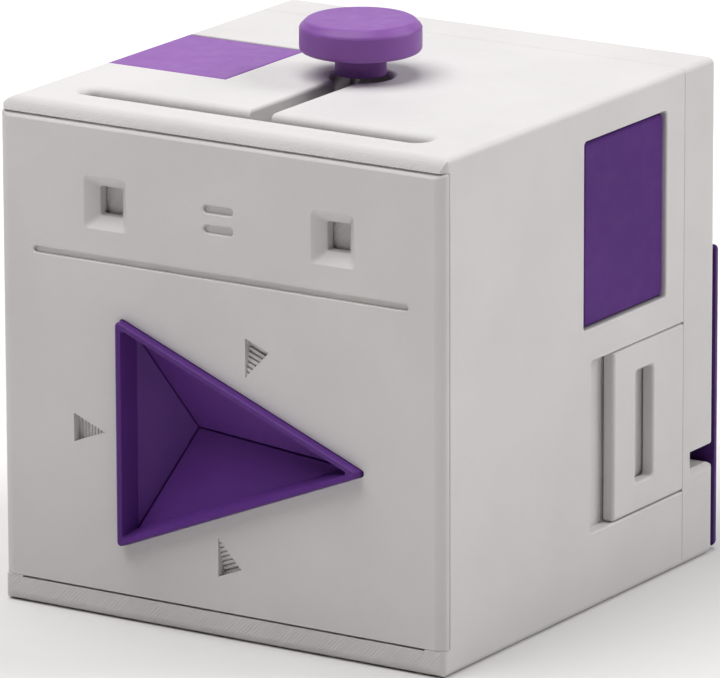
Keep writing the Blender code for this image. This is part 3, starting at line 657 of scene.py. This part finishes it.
white_shell = printed_plastic(
    "shell_print", WHITE_DARK, WHITE_LIGHT, "Y", 0.52, 0.7, 0.2, first_layers=FRONT + PANEL_RIM
)
white_panel = printed_plastic("panel_print", WHITE_DARK, WHITE_LIGHT, "Y", 0.55, 0.12, 0.1)
white_cover = printed_plastic("cover_print", WHITE_DARK, WHITE_LIGHT, "Y", 0.52, 0.5, 0.35)
white_slider = printed_plastic("slider_print", WHITE_DARK, WHITE_LIGHT, "X", 0.52, 0.25, 0.5)
white_inner = printed_plastic("inner_print", WHITE_DARK, WHITE_LIGHT, "Y", 0.58, 0.6, 0.6)
purple_dish = printed_plastic("dish_print", DISH_DARK, DISH_LIGHT, "Y", 0.46, 0.5, 0.12, 0.35, 0.2)
# Painted light: the knob and the tile take the lighter, top-lit copy of the purple
purple_knob = printed_plastic("knob_print", TOP_LIT_PURPLE_DARK, TOP_LIT_PURPLE_LIGHT, "Z", 0.42, 0.6, 0.3, 0.35, 0.3)
purple_tile = printed_plastic("tile_print", TOP_LIT_PURPLE_DARK, TOP_LIT_PURPLE_LIGHT, "Z", 0.42, 0.6, 0.9, 0.35, 0.3)
purple_side = printed_plastic("button_print", PURPLE_DARK, PURPLE_LIGHT, "Y", 0.46, 0.2, 0.5, 0.35, 0.06)
purple_door = printed_plastic("door_print", DOOR_DARK, DOOR_LIGHT, "Y", 0.46, 0.6, 0.9, 0.35, 0.2)
screw_steel = plated_steel("plated_screw", (0.62, 0.62, 0.60), 0.32)
spring_steel = plated_steel("spring_wire", (0.50, 0.51, 0.53), 0.28)


# ---------------------------------------------------------------- front panel

def panel_outline(share):
    """The panel's outline at a share of its edge rounding, 0 at its rim and 1 at its face."""
    low = panel_low.z
    high = panel_high.z - PANEL_TOP_RUN * share
    left = -HALF + PANEL_SIDE_RUN * share
    right = HALF - PANEL_SIDE_RUN * share
    steps = 6
    arcs = rounded([(left, low), (right, low), (right, high), (left, high)], PANEL_CORNER, steps)
    return [(left, low), (right, low)] + arcs[2 * (steps + 1):]


def mark_cutters():
    """Stepped ramps that get deeper towards each triangle's base, with a line between the steps."""
    run = MARK_LENGTH / MARK_STEPS
    stairs = [(-MARK_LENGTH, -WALL), (MARK_LENGTH / 2, -WALL)]
    for step in range(MARK_STEPS):
        near = MARK_LENGTH / 2 - step * run
        depth = MARK_STEP_DEPTH * (step + 1)
        notch = depth + MARK_NOTCH_DEPTH
        stairs += [(near, notch), (near - MARK_NOTCH, notch), (near - MARK_NOTCH, depth)]
        stairs.append((near - run if step < MARK_STEPS - 1 else -MARK_LENGTH, depth))
    half = MARK_LENGTH / 2
    outline = [(half, 0.0), (-half, MARK_HALF_BASE), (-half, -MARK_HALF_BASE)]
    cutters = []
    for centre_x, centre_z, turn in MARKS:
        cutter = prism("Z", stairs, -MARK_LENGTH, MARK_LENGTH)
        common(cutter, prism("Y", outline, -2 * WALL, MARK_LIMIT))
        angle = -math.radians(turn)
        turned_mark = Matrix.Rotation(angle, 4, "Y")
        cutter.data.transform(Matrix.Translation((centre_x, FRONT, centre_z)) @ turned_mark)
        cutters.append(cutter)
    return cutters


def eye_cutter(x):
    """A square funnel with a through hole at its bottom."""
    low = EYE_Z - EYE_INNER_HIGH
    high = EYE_Z + EYE_INNER_HIGH
    square = rectangle(x - EYE_INNER, x + EYE_INNER, low, high)
    spread = EYE_OUTER - EYE_INNER
    hole = rounded(square, EYE_HOLE_CORNER)
    sections = [(hole, PANEL_BACK + WALL), (hole, FRONT + EYE_DEPTH)]
    for share, deep in ((0.86, EYE_LIP), (0.92, EYE_LIP * 0.5), (1.0, EYE_LIP * 0.1), (1.2, -EYE_LIP)):
        sections.append((rounded(grown(square, spread * share), EYE_CORNER), FRONT + deep))
    return loft("Y", sections)


def front_panel():
    sections = [(panel_outline(0.0), FRONT + PANEL_RIM)]
    for deep, share in crown_rings(PANEL_STEEP):
        sections.append((panel_outline(share), FRONT + PANEL_EDGE * deep))
    item = loft("Y", sections)
    inner = HALF - WALL - GAP
    low = panel_low.z
    add(item, block(-inner, inner, FRONT + PANEL_EDGE / 2, PANEL_BACK, low + HAIR, SIDE - WALL - GAP))
    standoff_end = panel_high.y
    for x in (-STANDOFF_X, STANDOFF_X):
        for z in STANDOFF_LEVELS:
            add(item, rod("Y", x, z, STANDOFF_RADIUS, PANEL_BACK - GAP, standoff_end))
            cut(item, rod("Y", x, z, M3_HOLE, standoff_end - 2 * WALL, standoff_end + GAP, 24))
    hole = grown(triangle(0.0, 0.0), DISH_HOLE_GAP)
    cut(item, mouth_cutter("Y", hole, FRONT, -1, DISH_HOLE_ROUND, 2 * WALL, DISH_TIP_ROUND, 4))
    cut(item, eye_cutter(-EYE_X), eye_cutter(EYE_X))
    half = NOSE_HEIGHT / 2
    for z in NOSE_LEVELS:
        slot = rectangle(-NOSE_WIDTH / 2, NOSE_WIDTH / 2, z - half, z + half)
        cut(item, mouth_cutter("Y", slot, FRONT, -1, NOSE_ROUND, NOSE_DEPTH, half * NEARLY, 8))
    half = MOUTH_HEIGHT / 2
    groove = rectangle(-MOUTH_HALF, MOUTH_HALF, MOUTH_Z - half, MOUTH_Z + half)
    cut(item, mouth_cutter("Y", groove, FRONT, -1, MOUTH_ROUND, MOUTH_DEPTH, half * NEARLY, 8))
    cut(item, *mark_cutters())
    return finished(item, "face_panel", "front_panel", white_panel, "cube_body")


# ---------------------------------------------------------------- main shell

def left_edge():
    """What the wide rounding takes off the cube's upper left edge."""
    over = HALF + WALL
    corner = rectangle(-over, -HALF + LEFT_ROUND, SIDE - LEFT_ROUND, SIDE + WALL)
    body = circle(-HALF + LEFT_ROUND, SIDE - LEFT_ROUND, LEFT_ROUND)
    return cut(prism("Y", corner, -over, over), prism("Y", body, -2 * over, 2 * over))


def side_groove(seam, size, low, high):
    """A soft vertical line on the right side, where two pieces meet."""
    wedge = [(HALF - size, seam), (HALF + size, seam - 2 * size), (HALF + size, seam + 2 * size)]
    return prism("Z", wedge, low, high)


def slot_cutters():
    deep = 2 * WALL
    arm = rectangle(-SLOT_ARM, SLOT_ARM, SLOT_CROSS_Y - SLOT_HALF, SLOT_CROSS_Y + SLOT_HALF)
    stem = rectangle(-SLOT_HALF, SLOT_HALF, SLOT_CROSS_Y - SLOT_HALF * 0.5, 0.0)
    return (
        mouth_cutter("Z", arm, SIDE, 1, SLOT_ROUND, deep, SLOT_HALF * NEARLY, 10),
        mouth_cutter("Z", stem, SIDE, 1, STEM_ROUND, deep, 0.0),
        round_mouth("Z", 0, 0, KNOB_HOLE_RADIUS, SIDE, 1, HOLE_ROUND, deep),
    )


def shell_profile():
    """The shell's outline in Y and Z, with the two lips that hold the panel."""
    rim = FRONT + PANEL_RIM + LIP_GAP
    lip_top = panel_high.z + LIP_GAP
    lip_bottom = panel_low.z - LIP_GAP
    points = []
    for across, deep in arc_rings(BASE_ROUND, 8):
        points.append((FRONT + across, deep))
    points += [(SHELL_BACK, 0.0), (SHELL_BACK, SIDE)]
    rise = SIDE - lip_top
    for share, drop in crown_rings(LIP_STEEP):
        points.append((FRONT + LIP_BEVEL_FOOT + (LIP_RUN - LIP_BEVEL_FOOT) * share, SIDE - rise * drop))
    points += [(rim, lip_top), (rim, lip_bottom), (FRONT, lip_bottom)]
    return points


def add_shell_insides(item, lip_bottom):
    """The ribs behind the chassis, the cover screws' bosses, the clicker's ears and its spring's shelf."""
    in_wall = HALF - WALL / 2
    rib_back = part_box("inner_chassis")[1].y - WALL - GAP
    for x0, x1 in ((-in_wall, -RIB_INNER), (RIB_INNER, in_wall)):
        add(item, block(x0, x1, rib_back - RIB_DEPTH, rib_back, *RIB_LEVELS))
    for x, z in COVER_SCREWS:
        low = lip_bottom - WALL / 2 if z < HALF else z - BOSS_HALF
        high = z + BOSS_HALF if z < HALF else SIDE - WALL / 2
        x0 = -in_wall if z < HALF and x < 0 else x - BOSS_HALF
        x1 = in_wall if z < HALF and x > 0 else x + BOSS_HALF
        add(item, block(x0, x1, BOSS_FRONT, SHELL_BACK, low, high))
        cut(item, rod("Y", x, z, M3_HOLE, BOSS_FRONT + BOSS_SKIN, SHELL_BACK + WALL, 24))
    for start in (clicker_low.y - EAR_GAP - EAR, clicker_high.y + EAR_GAP):
        add(item, block(PIVOT_X - EAR, PIVOT_X + EAR, start, start + EAR, EAR_LOW, SIDE - WALL / 2))
    cut(item, rod("Y", PIVOT_X, PIVOT_Z, PIN_HOLE, -PIN_REACH, PIN_REACH, 24))
    add(item, block(-in_wall, *SPRING_SHELF))


def cut_clicker_opening(item):
    left = -HALF - WALL
    y0 = clicker_low.y - GAP
    y1 = clicker_high.y + GAP
    tile = rectangle(left - WALL, clicker_high.x + GAP, y0, y1)
    cut(item, mouth_cutter("Z", tile, SIDE, 1, SOFT_EDGE, WALL * 1.2))
    cut(item, block(left, -HALF + WALL * 1.1, y0, y1, clicker_low.z - CLICKER_SWING, SIDE + WALL))


def cut_right_openings(item):
    """The button's window, the slider's recess with its slit and tongue slots, and two screw holes."""
    inside = HALF - 2 * WALL
    opening = rectangle(BUTTON_FRONT - GAP, BUTTON_BACK + GAP, BUTTON_LOW - GAP, BUTTON_HIGH + GAP)
    cut(item, mouth_cutter("X", opening, HALF, 1, SOFT_EDGE, 2 * WALL, BUTTON_HOLE_CORNER))
    recess = rectangle(RECESS_FRONT, SIDE / 2, RECESS_LOW, RECESS_HIGH)
    cut(item, mouth_cutter("X", recess, HALF, 1, SOFT_EDGE, RECESS_DEPTH, RECESS_CORNER))
    cut(item, block(inside, HALF, *RECESS_SLIT))
    slot_front = TONGUE_FRONT - SLIDER_TRAVEL - GAP
    for low, high in TONGUES:
        cut(item, block(inside, HALF, slot_front, TONGUE_BACK + GAP, low - GAP, high + GAP))
    for z in BRACKET_SCREWS:
        cut(item, rod("X", BRACKET_SCREW_Y, z, M2_HOLE, inside, HALF - BRACKET_SKIN, 24))


def main_shell():
    item = prism("X", shell_profile(), -HALF, HALF)
    square = rectangle(-HALF, HALF, 0.0, SIDE)
    common(item, prism("Y", rounded(square, OUTER_ROUND, 8), -SIDE, SIDE))
    footprint = rectangle(-HALF, HALF, FRONT, FRONT + SIDE * 2)
    lower = prism("Z", rounded(footprint, BASE_LIP_ROUND, 8), -SIDE, LIP_SPLIT)
    upper = prism("Z", rounded(footprint, LIP_ROUND, 8), LIP_SPLIT, 2 * SIDE)
    common(item, add(lower, upper))
    inner = HALF - WALL
    lip_bottom = panel_low.z - GAP
    cut(item, block(-inner, inner, -SIDE, SIDE, lip_bottom, SIDE - WALL))
    add_shell_insides(item, lip_bottom)
    cut(item, *slot_cutters())
    cut_clicker_opening(item)
    cut_right_openings(item)
    cut(item, left_edge(), side_groove(SHELL_BACK + HAIR / 2, SEAM_GROOVE, -WALL, SIDE + WALL))
    cut(item, side_groove(FRONT + PANEL_RIM + LIP_GAP, PANEL_GROOVE, panel_low.z, panel_high.z))
    return finished(item, "shell", "main_shell", white_shell, "cube_body")


# ---------------------------------------------------------------- rear cover and door

def rear_cover():
    square = rectangle(-HALF, HALF, 0.0, SIDE)
    item = soft_plate("Y", square, SHELL_BACK + HAIR, BACK, 1, BACK_ROUND, OUTER_ROUND)
    slot = rectangle(-SIDE, SIDE, GROOVE_LOW, GROOVE_HIGH)
    cut(item, mouth_cutter("Y", slot, BACK, 1, BACK_ROUND, BACK - GROOVE_FLOOR))
    beyond = HALF * 0.1
    for side in (-1, 1):
        wedge = [
            (side * (HALF + beyond), GROOVE_LOW - GROOVE_BEVEL - beyond),
            (side * (HALF + beyond), GROOVE_LOW + GROOVE_BEVEL),
            (side * (HALF - GROOVE_BEVEL), GROOVE_LOW + HAIR),
            (side * HALF, GROOVE_LOW - GROOVE_BEVEL),
        ]
        cut(item, prism("Y", wedge, GROOVE_FLOOR, SIDE))
    low = GROOVE_LOW - UNDERCUT_MARGIN
    high = GROOVE_HIGH + UNDERCUT_MARGIN
    cut(item, block(-SIDE, UNDERCUT_RIGHT, GROOVE_FLOOR, UNDERCUT_BACK, low, high))
    pocket = rectangle(*STASH)
    cut(item, mouth_cutter("Y", pocket, BACK, 1, STASH_ROUND, BACK - STASH_FLOOR, STASH_CORNER))
    for x, z in COVER_SCREWS:
        cut(item, round_mouth("Y", x, z, M3_HEAD + GAP, BACK, 1, SOFT_EDGE, M3_SINK))
        cut(item, rod("Y", x, z, M3_CLEARANCE, 0.0, SIDE, 32))
    cut(item, rod("Z", STOP_PIN_X, (GROOVE_FLOOR + UNDERCUT_BACK) / 2, PIN_HOLE, *STOP_PIN_LEVELS, 24))
    cut(item, left_edge(), side_groove(SHELL_BACK + HAIR / 2, SEAM_GROOVE, -WALL, SIDE + WALL))
    return finished(item, "back_section", "rear_cover", white_cover, "cube_body")


def rear_door():
    plate = rectangle(door_low.x, door_high.x, door_low.z, door_high.z)
    sections = [(rounded(plate, DOOR_BACK_CORNER), BACK + GAP)]
    for across, deep in ((0.0, 1.0), (0.06, 0.8), (0.8, 0.06), (1.0, 0.0)):
        outline = rounded(grown(plate, -across * DOOR_CHAMFER), DOOR_CORNER)
        sections.append((outline, door_high.y - deep * DOOR_CHAMFER))
    item = loft("Y", sections)
    low = GROOVE_LOW + GAP
    high = GROOVE_HIGH - GAP
    add(item, block(*RUNNER, UNDERCUT_BACK - OVERLAP, BACK + OVERLAP, low, high))
    foot = rectangle(*RUNNER, low - UNDERCUT_MARGIN, high + UNDERCUT_MARGIN)
    add(item, prism("Y", rounded(foot, DOOR_BACK_CORNER), GROOVE_FLOOR + GAP, UNDERCUT_BACK - GAP))
    return finished(item, "stash_door", "rear_door", purple_door, "rear_door")


# ---------------------------------------------------------------- dish

def crease(start, end):
    """A thin diamond-shaped cutter from one point to another, for the line between two facets."""
    along = (end - start).normalized()
    side = along.cross(Vector((0.0, 1.0, 0.0))).normalized()
    over = side.cross(along)
    bm = bmesh.new()
    rings = []
    for centre in (start, end):
        ring = [centre + side * DISH_CREASE, centre + over * DISH_CREASE_DEPTH]
        ring += [centre - side * DISH_CREASE, centre - over * DISH_CREASE_DEPTH]
        rings.append([bm.verts.new(point) for point in ring])
    for i in range(4):
        j = (i + 1) % 4
        bm.faces.new((rings[0][i], rings[0][j], rings[1][j], rings[1][i]))
    bm.faces.new(rings[0])
    bm.faces.new(rings[1])
    return solid_from(bm)


def towards_apex(points, scale):
    """An outline of the dish shrunk towards the point where its facets meet."""
    return [(DISH_APEX_X + (u - DISH_APEX_X) * scale, DISH_Z + (v - DISH_Z) * scale) for u, v in points]


def press_dish():
    flange_front = PANEL_BACK + GAP
    flange_back = flange_front + FLANGE_THICK
    sections = []
    for across, deep in reversed(arc_rings(DISH_RIM_ROUND, 5)):
        sections.append((triangle(across), DISH_FRONT + deep))
    sections.append((triangle(), flange_back))
    item = loft("Y", sections)
    add(item, prism("Y", triangle(-DISH_FLANGE, DISH_FLANGE_CORNER), flange_front, flange_back))
    apex_y = DISH_FRONT + DISH_DEPTH
    tail_y = apex_y + DISH_FLOOR_THICK
    tail = towards_apex(triangle(), 0.35)
    add(item, loft("Y", ((triangle(), flange_back - GAP), (tail, tail_y))))
    add(item, rod("Y", DISH_APEX_X, DISH_Z, DISH_POST_RADIUS, tail_y - OVERLAP, dish_high.y))
    lip = DISH_RIM_ROUND + DISH_RIM_WIDTH
    wall_low = DISH_FRONT + DISH_WALL_DEPTH
    sections = [(triangle(lip - 2 * DISH_RIM_ROUND, DISH_CORNER), DISH_FRONT - HAIR)]
    for share, deep in ((0.0, DISH_EDGE), (0.25, DISH_EDGE * 1.6)):
        sections.append((triangle(lip + DISH_EDGE * share, DISH_CORNER), DISH_FRONT + deep))
    floor = triangle(lip + DISH_WALL_TAPER, HAIR / 2)
    sections.append((floor, wall_low))
    for scale in (0.985, 0.93, 0.75, 0.5, 0.25, 0.05):
        sections.append((towards_apex(floor, scale), wall_low + (apex_y - wall_low) * (1 - scale)))
    sections.append((towards_apex(floor, 0.01), apex_y))
    cut(item, loft("Y", sections))
    apex = Vector((DISH_APEX_X, apex_y, DISH_Z))
    for u, v in triangle(lip + DISH_WALL_TAPER, 0.0):
        cut(item, crease(Vector((u, wall_low, v)), apex))
    return finished(item, "dish", "press_dish", purple_dish, "press_dish")


# ---------------------------------------------------------------- knob

def layered(points, pitch):
    """A turned profile whose steep stretches carry one shallow bead for each printed layer."""
    result = []
    for (r0, z0), (r1, z1) in zip(points, points[1:]):
        rise = abs(z1 - z0)
        count = max(1, round(rise / pitch)) if rise > pitch else 1
        for i in range(count):
            for share in (0.0, 0.5):
                t = (i + share) / count
                groove = BEAD if share == 0.0 and count > 1 else 0.0
                result.append((r0 + (r1 - r0) * t - groove, z0 + (z1 - z0) * t))
                if count == 1:
                    break
    result.append(points[-1])
    return result


def knob_cap():
    foot = CAP_BOTTOM + CAP_UNDER
    under = CAP_RADIUS - CAP_UNDER
    shoulder = CAP_TOP - CAP_CHAMFER
    flat = CAP_RADIUS - CAP_CHAMFER
    soft = CAP_SOFT
    profile = [
        (under - soft, CAP_BOTTOM),
        (under + soft, CAP_BOTTOM + soft),
        (CAP_RADIUS - soft * 0.3, foot),
        (CAP_RADIUS, foot + soft),
        (CAP_RADIUS, shoulder - soft),
        (CAP_RADIUS - soft, shoulder + soft),
        (flat + soft, CAP_TOP - soft),
        (flat - soft, CAP_TOP),
    ]
    item = turned(layered(profile, LAYER))
    neck = layered([(NECK_RADIUS, knob_low.z), (NECK_RADIUS, foot)], LAYER)
    add(item, turned(neck, 96))
    cut(item, rod("Z", 0, 0, KNOB_BORE, knob_low.z - GAP, KNOB_BORE_TOP, 32))
    return finished(item, "knob_top", "knob_cap", purple_knob, "knob")


# ---------------------------------------------------------------- clicker, button and slider

def corner_clicker():
    top = clicker_high.z
    under = top - CLICKER_THICK
    tile = rectangle(clicker_low.x, clicker_high.x, clicker_low.y, clicker_high.y)
    item = soft_plate("Z", tile, under, top, 1, CLICKER_ROUND, CLICKER_CORNER)
    skirt = rectangle(clicker_low.y, clicker_high.y, clicker_low.z, under + 2 * CLICKER_ROUND)
    skirt_inner = clicker_low.x + CLICKER_SKIRT_THICK
    add(item, soft_plate("X", skirt, skirt_inner, clicker_low.x, -1, CLICKER_ROUND))
    add(item, rod("Y", PIVOT_X, PIVOT_Z, BARREL_RADIUS, clicker_low.y, clicker_high.y))
    x0 = PIVOT_X - CLICKER_WEB
    x1 = PIVOT_X + CLICKER_WEB
    web_low = PIVOT_Z + CLICKER_WEB
    add(item, block(x0, x1, clicker_low.y + HAIR, clicker_high.y - HAIR, web_low, under + GAP))
    cut(item, left_edge())
    add(item, rod("Z", *SPRING_SEAT, SPRING_SEAT_RADIUS, under - SPRING_SEAT_HEIGHT, under + GAP, 32))
    cut(item, rod("Y", PIVOT_X, PIVOT_Z, PIN_HOLE, -HALF, HALF, 32))
    return finished(item, "clicker", "corner_clicker", purple_tile, "corner_clicker")


def side_button():
    face = rectangle(BUTTON_FRONT, BUTTON_BACK, BUTTON_LOW, BUTTON_HIGH)
    flange_inner = HALF - WALL - GAP - FLANGE_THICK
    sections = [(rounded(face, BUTTON_CORNER), flange_inner)]
    for across, deep in ((0.0, 1.0), (0.12, 0.7), (0.7, 0.12), (1.0, 0.0)):
        outline = rounded(grown(face, -across * BUTTON_CHAMFER), BUTTON_CORNER)
        sections.append((outline, BUTTON_FACE - deep * BUTTON_CHAMFER))
    item = loft("X", sections)
    flange = rounded(grown(face, FLANGE_REACH), BUTTON_HOLE_CORNER)
    add(item, prism("X", flange, flange_inner + HAIR, flange_inner + FLANGE_THICK))
    middle = (BUTTON_LOW + BUTTON_HIGH) / 2
    for y in BUTTON_POSTS:
        add(item, rod("X", y, middle, BUTTON_POST_RADIUS, button_low.x, flange_inner + 2 * GAP, 32))
    return finished(item, "button", "side_button", purple_side, "side_button")


def side_slider():
    inner = HALF - SLIDER_THICK
    plate = rectangle(slider_low.y, SHELL_BACK + WALL, slider_low.z, slider_high.z)
    item = soft_plate("X", grown(plate, GAP / 2), inner, HALF, 1, SLIDER_ROUND, SLIDER_CORNER)
    cut(item, block(0.0, SIDE, SHELL_BACK - HAIR, SIDE, 0.0, SIDE))
    slot = rectangle(*GRIP)
    cut(item, mouth_cutter("X", slot, HALF, 1, GRIP_ROUND, 2 * WALL, GRIP_CORNER))
    middle = (TONGUE_FRONT + TONGUE_BACK) / 2
    for low, high in TONGUES:
        add(item, block(slider_low.x, inner + GAP, TONGUE_FRONT, TONGUE_BACK, low, high))
        cut(item, rod("X", middle, (low + high) / 2, M2_HOLE, slider_low.x - GAP, inner - GAP, 24))
    return finished(item, "slider", "side_slider", white_slider, "side_slider")


# ---------------------------------------------------------------- fasteners

def socket_screw(node, body):
    """A socket-head screw with a chamfered head and a hexagon socket, where its CAD node is."""
    low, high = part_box(node)
    centre = (low + high) / 2
    tip = low.y - high.y
    chamfer = M3_HEAD_CHAMFER
    profile = [
        (M3_SHANK * 0.7, tip),
        (M3_SHANK, tip + M3_SHANK * 0.3),
        (M3_SHANK, -M3_HEAD_HEIGHT),
        (M3_HEAD, -M3_HEAD_HEIGHT),
        (M3_HEAD, -chamfer),
        (M3_HEAD - chamfer * 0.3, -chamfer * 0.3),
        (M3_HEAD - chamfer, 0.0),
    ]
    item = turned(profile, 48)
    cut(item, rod("Z", 0, 0, M3_HEAD * 0.5, -M3_HEAD_HEIGHT * 0.6, M3_HEAD_HEIGHT, 6))
    turn = Matrix.Rotation(math.radians(-90), 4, "X")
    item.data.transform(Matrix.Translation((centre.x, high.y, centre.z)) @ turn)
    return finished(item, node + "_detail", node, screw_steel, body)


def coil_spring(node, axis, wire, turns):
    """A compression spring with closed ends, between the cube and a moving body."""
    low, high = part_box(node)
    centre = (low + high) / 2
    along = AXES[axis]
    length = high[along] - low[along]
    radius = (high[along - 1] - low[along - 1]) / 2 - wire
    closed = SPRING_CLOSED
    rise = 2 * wire * closed
    bm = bmesh.new()
    rings = []
    for i in range(int(turns * SPRING_STEPS) + 1):
        turn = i / SPRING_STEPS
        if turn < closed:
            height = turn * 2 * wire
        elif turn > turns - closed:
            height = length - 2 * wire - (turns - turn) * 2 * wire
        else:
            share = (turn - closed) / (turns - 2 * closed)
            height = rise + (length - 2 * wire - 2 * rise) * share
        angle = 2 * math.pi * turn
        ring = []
        for k in range(WIRE_SIDES):
            around = 2 * math.pi * k / WIRE_SIDES
            reach = radius + wire * math.cos(around)
            level = low[along] + wire + height + wire * math.sin(around)
            offset = place(axis, reach * math.cos(angle), reach * math.sin(angle), 0.0)
            point = centre + offset
            point[along] = level
            ring.append(bm.verts.new(point))
        rings.append(ring)
    for first, second in zip(rings, rings[1:]):
        for k in range(WIRE_SIDES):
            j = (k + 1) % WIRE_SIDES
            bm.faces.new((first[k], first[j], second[j], second[k]))
    bm.faces.new(rings[0])
    bm.faces.new(rings[-1])
    item = solid_from(bm)
    item.name = node + "_coil"
    item.data.name = item.name
    item.data.materials.append(spring_steel)
    item.data.shade_smooth()
    item.data.set_sharp_from_angle(angle=math.radians(SHARP_ANGLE))
    bottom = centre.copy()
    bottom[along] = low[along] + rise
    top = centre.copy()
    top[along] = high[along] - rise
    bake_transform(item)
    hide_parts(node)


def carried_over():
    """Every CAD node that is still shown gets its own surface."""
    slots = {entry["node"]: entry["material_slot"] for entry in frame["record"]["subparts"]}
    surfaces = {
        "white_print": white_inner,
        "purple_print": purple_dish,
        "screw_steel": screw_steel,
        "spring_steel": spring_steel,
    }
    for name, node in frame["nodes"].items():
        if node.hide_render:
            continue
        node.data.materials.clear()
        node.data.materials.append(surfaces[slots[name]])


# ---------------------------------------------------------------- studio

def floor():
    bm = bmesh.new()
    bmesh.ops.create_grid(bm, x_segments=8, y_segments=8, size=FLOOR_SIZE / 2)
    mesh = bpy.data.meshes.new("floor")
    bm.to_mesh(mesh)
    bm.free()
    item = bpy.data.objects.new("floor", mesh)
    bpy.context.scene.collection.objects.link(item)
    # Painted shadow: the floor's colour blends from dark near the cube to pale away from it
    g = Graph("floor_painted_shadow")
    distance = g.node("ShaderNodeVectorMath", operation="LENGTH")
    g.link(g.node("ShaderNodeTexCoord").outputs["Object"], distance.inputs[0])
    paint = g.node("ShaderNodeMix", data_type="RGBA")
    g.link(g.ramp(distance.outputs["Value"], FLOOR_NEAR, FLOOR_FAR, 0.0, 1.0), paint.inputs["Factor"])
    paint.inputs["A"].default_value = (*FLOOR_PAINTED_SHADOW, 1.0)
    paint.inputs["B"].default_value = (*FLOOR_AWAY, 1.0)
    g.link(paint.outputs["Result"], g.shader.inputs["Base Color"])
    g.shader.inputs["Roughness"].default_value = 0.9
    g.shader.inputs["Specular IOR Level"].default_value = 0.0
    mesh.materials.append(g.material)


def softbox(name, position, target, width, height, power):
    data = bpy.data.lights.new(name, "AREA")
    data.shape = "RECTANGLE"
    data.size = width
    data.size_y = height
    data.energy = power
    item = bpy.data.objects.new(name, data)
    item.location = position
    direction = Vector(target) - Vector(position)
    item.rotation_euler = direction.to_track_quat("-Z", "Y").to_euler()
    bpy.context.scene.collection.objects.link(item)


def studio():
    floor()
    world = bpy.data.worlds.new("studio")
    world.use_nodes = True
    background = world.node_tree.nodes["Background"]
    background.inputs["Color"].default_value = (1.0, 1.0, 1.0, 1.0)
    background.inputs["Strength"].default_value = 0.03
    bpy.context.scene.world = world
    bpy.context.scene.view_settings.view_transform = "Standard"
    middle = (0.0, 0.0, 0.035)
    softbox("top_box", (-0.22, -0.24, 1.22), middle, 1.2, 1.2, 21.6)
    softbox("back_box", (-0.9, 1.3, 0.5), middle, 2.4, 0.8, 5.0)
    softbox("right_box", (1.2, 1.0, 1.1), middle, 0.9, 0.9, 20.5)


def camera():
    data = bpy.data.cameras.new("camera")
    data.lens = 417.65
    data.sensor_width = 36.0
    data.clip_start = 0.05
    data.clip_end = 100.0
    item = bpy.data.objects.new("camera", data)
    item.location = (0.58858, -0.92011, 0.32688)
    aim = Vector((-0.00034, 0.0001, 0.03323))
    roll = math.radians(-0.19)
    turn = (aim - item.location).to_track_quat("-Z", "Y").to_matrix().to_4x4()
    item.rotation_euler = (turn @ Matrix.Rotation(roll, 4, "Z")).to_euler()
    bpy.context.scene.collection.objects.link(item)
    bpy.context.scene.camera = item


front_panel()
main_shell()
rear_cover()
rear_door()
press_dish()
knob_cap()
corner_clicker()
side_button()
side_slider()
for number in range(1, 5):
    socket_screw("cover_screw_%d" % number, "cube_body")
coil_spring("dish_spring", "Y", 0.0004, 4.5)
coil_spring("button_spring_1", "X", 0.0003, 3.5)
coil_spring("button_spring_2", "X", 0.0003, 3.5)
coil_spring("clicker_spring", "Z", 0.0003, 8.0)
carried_over()
studio()
camera()
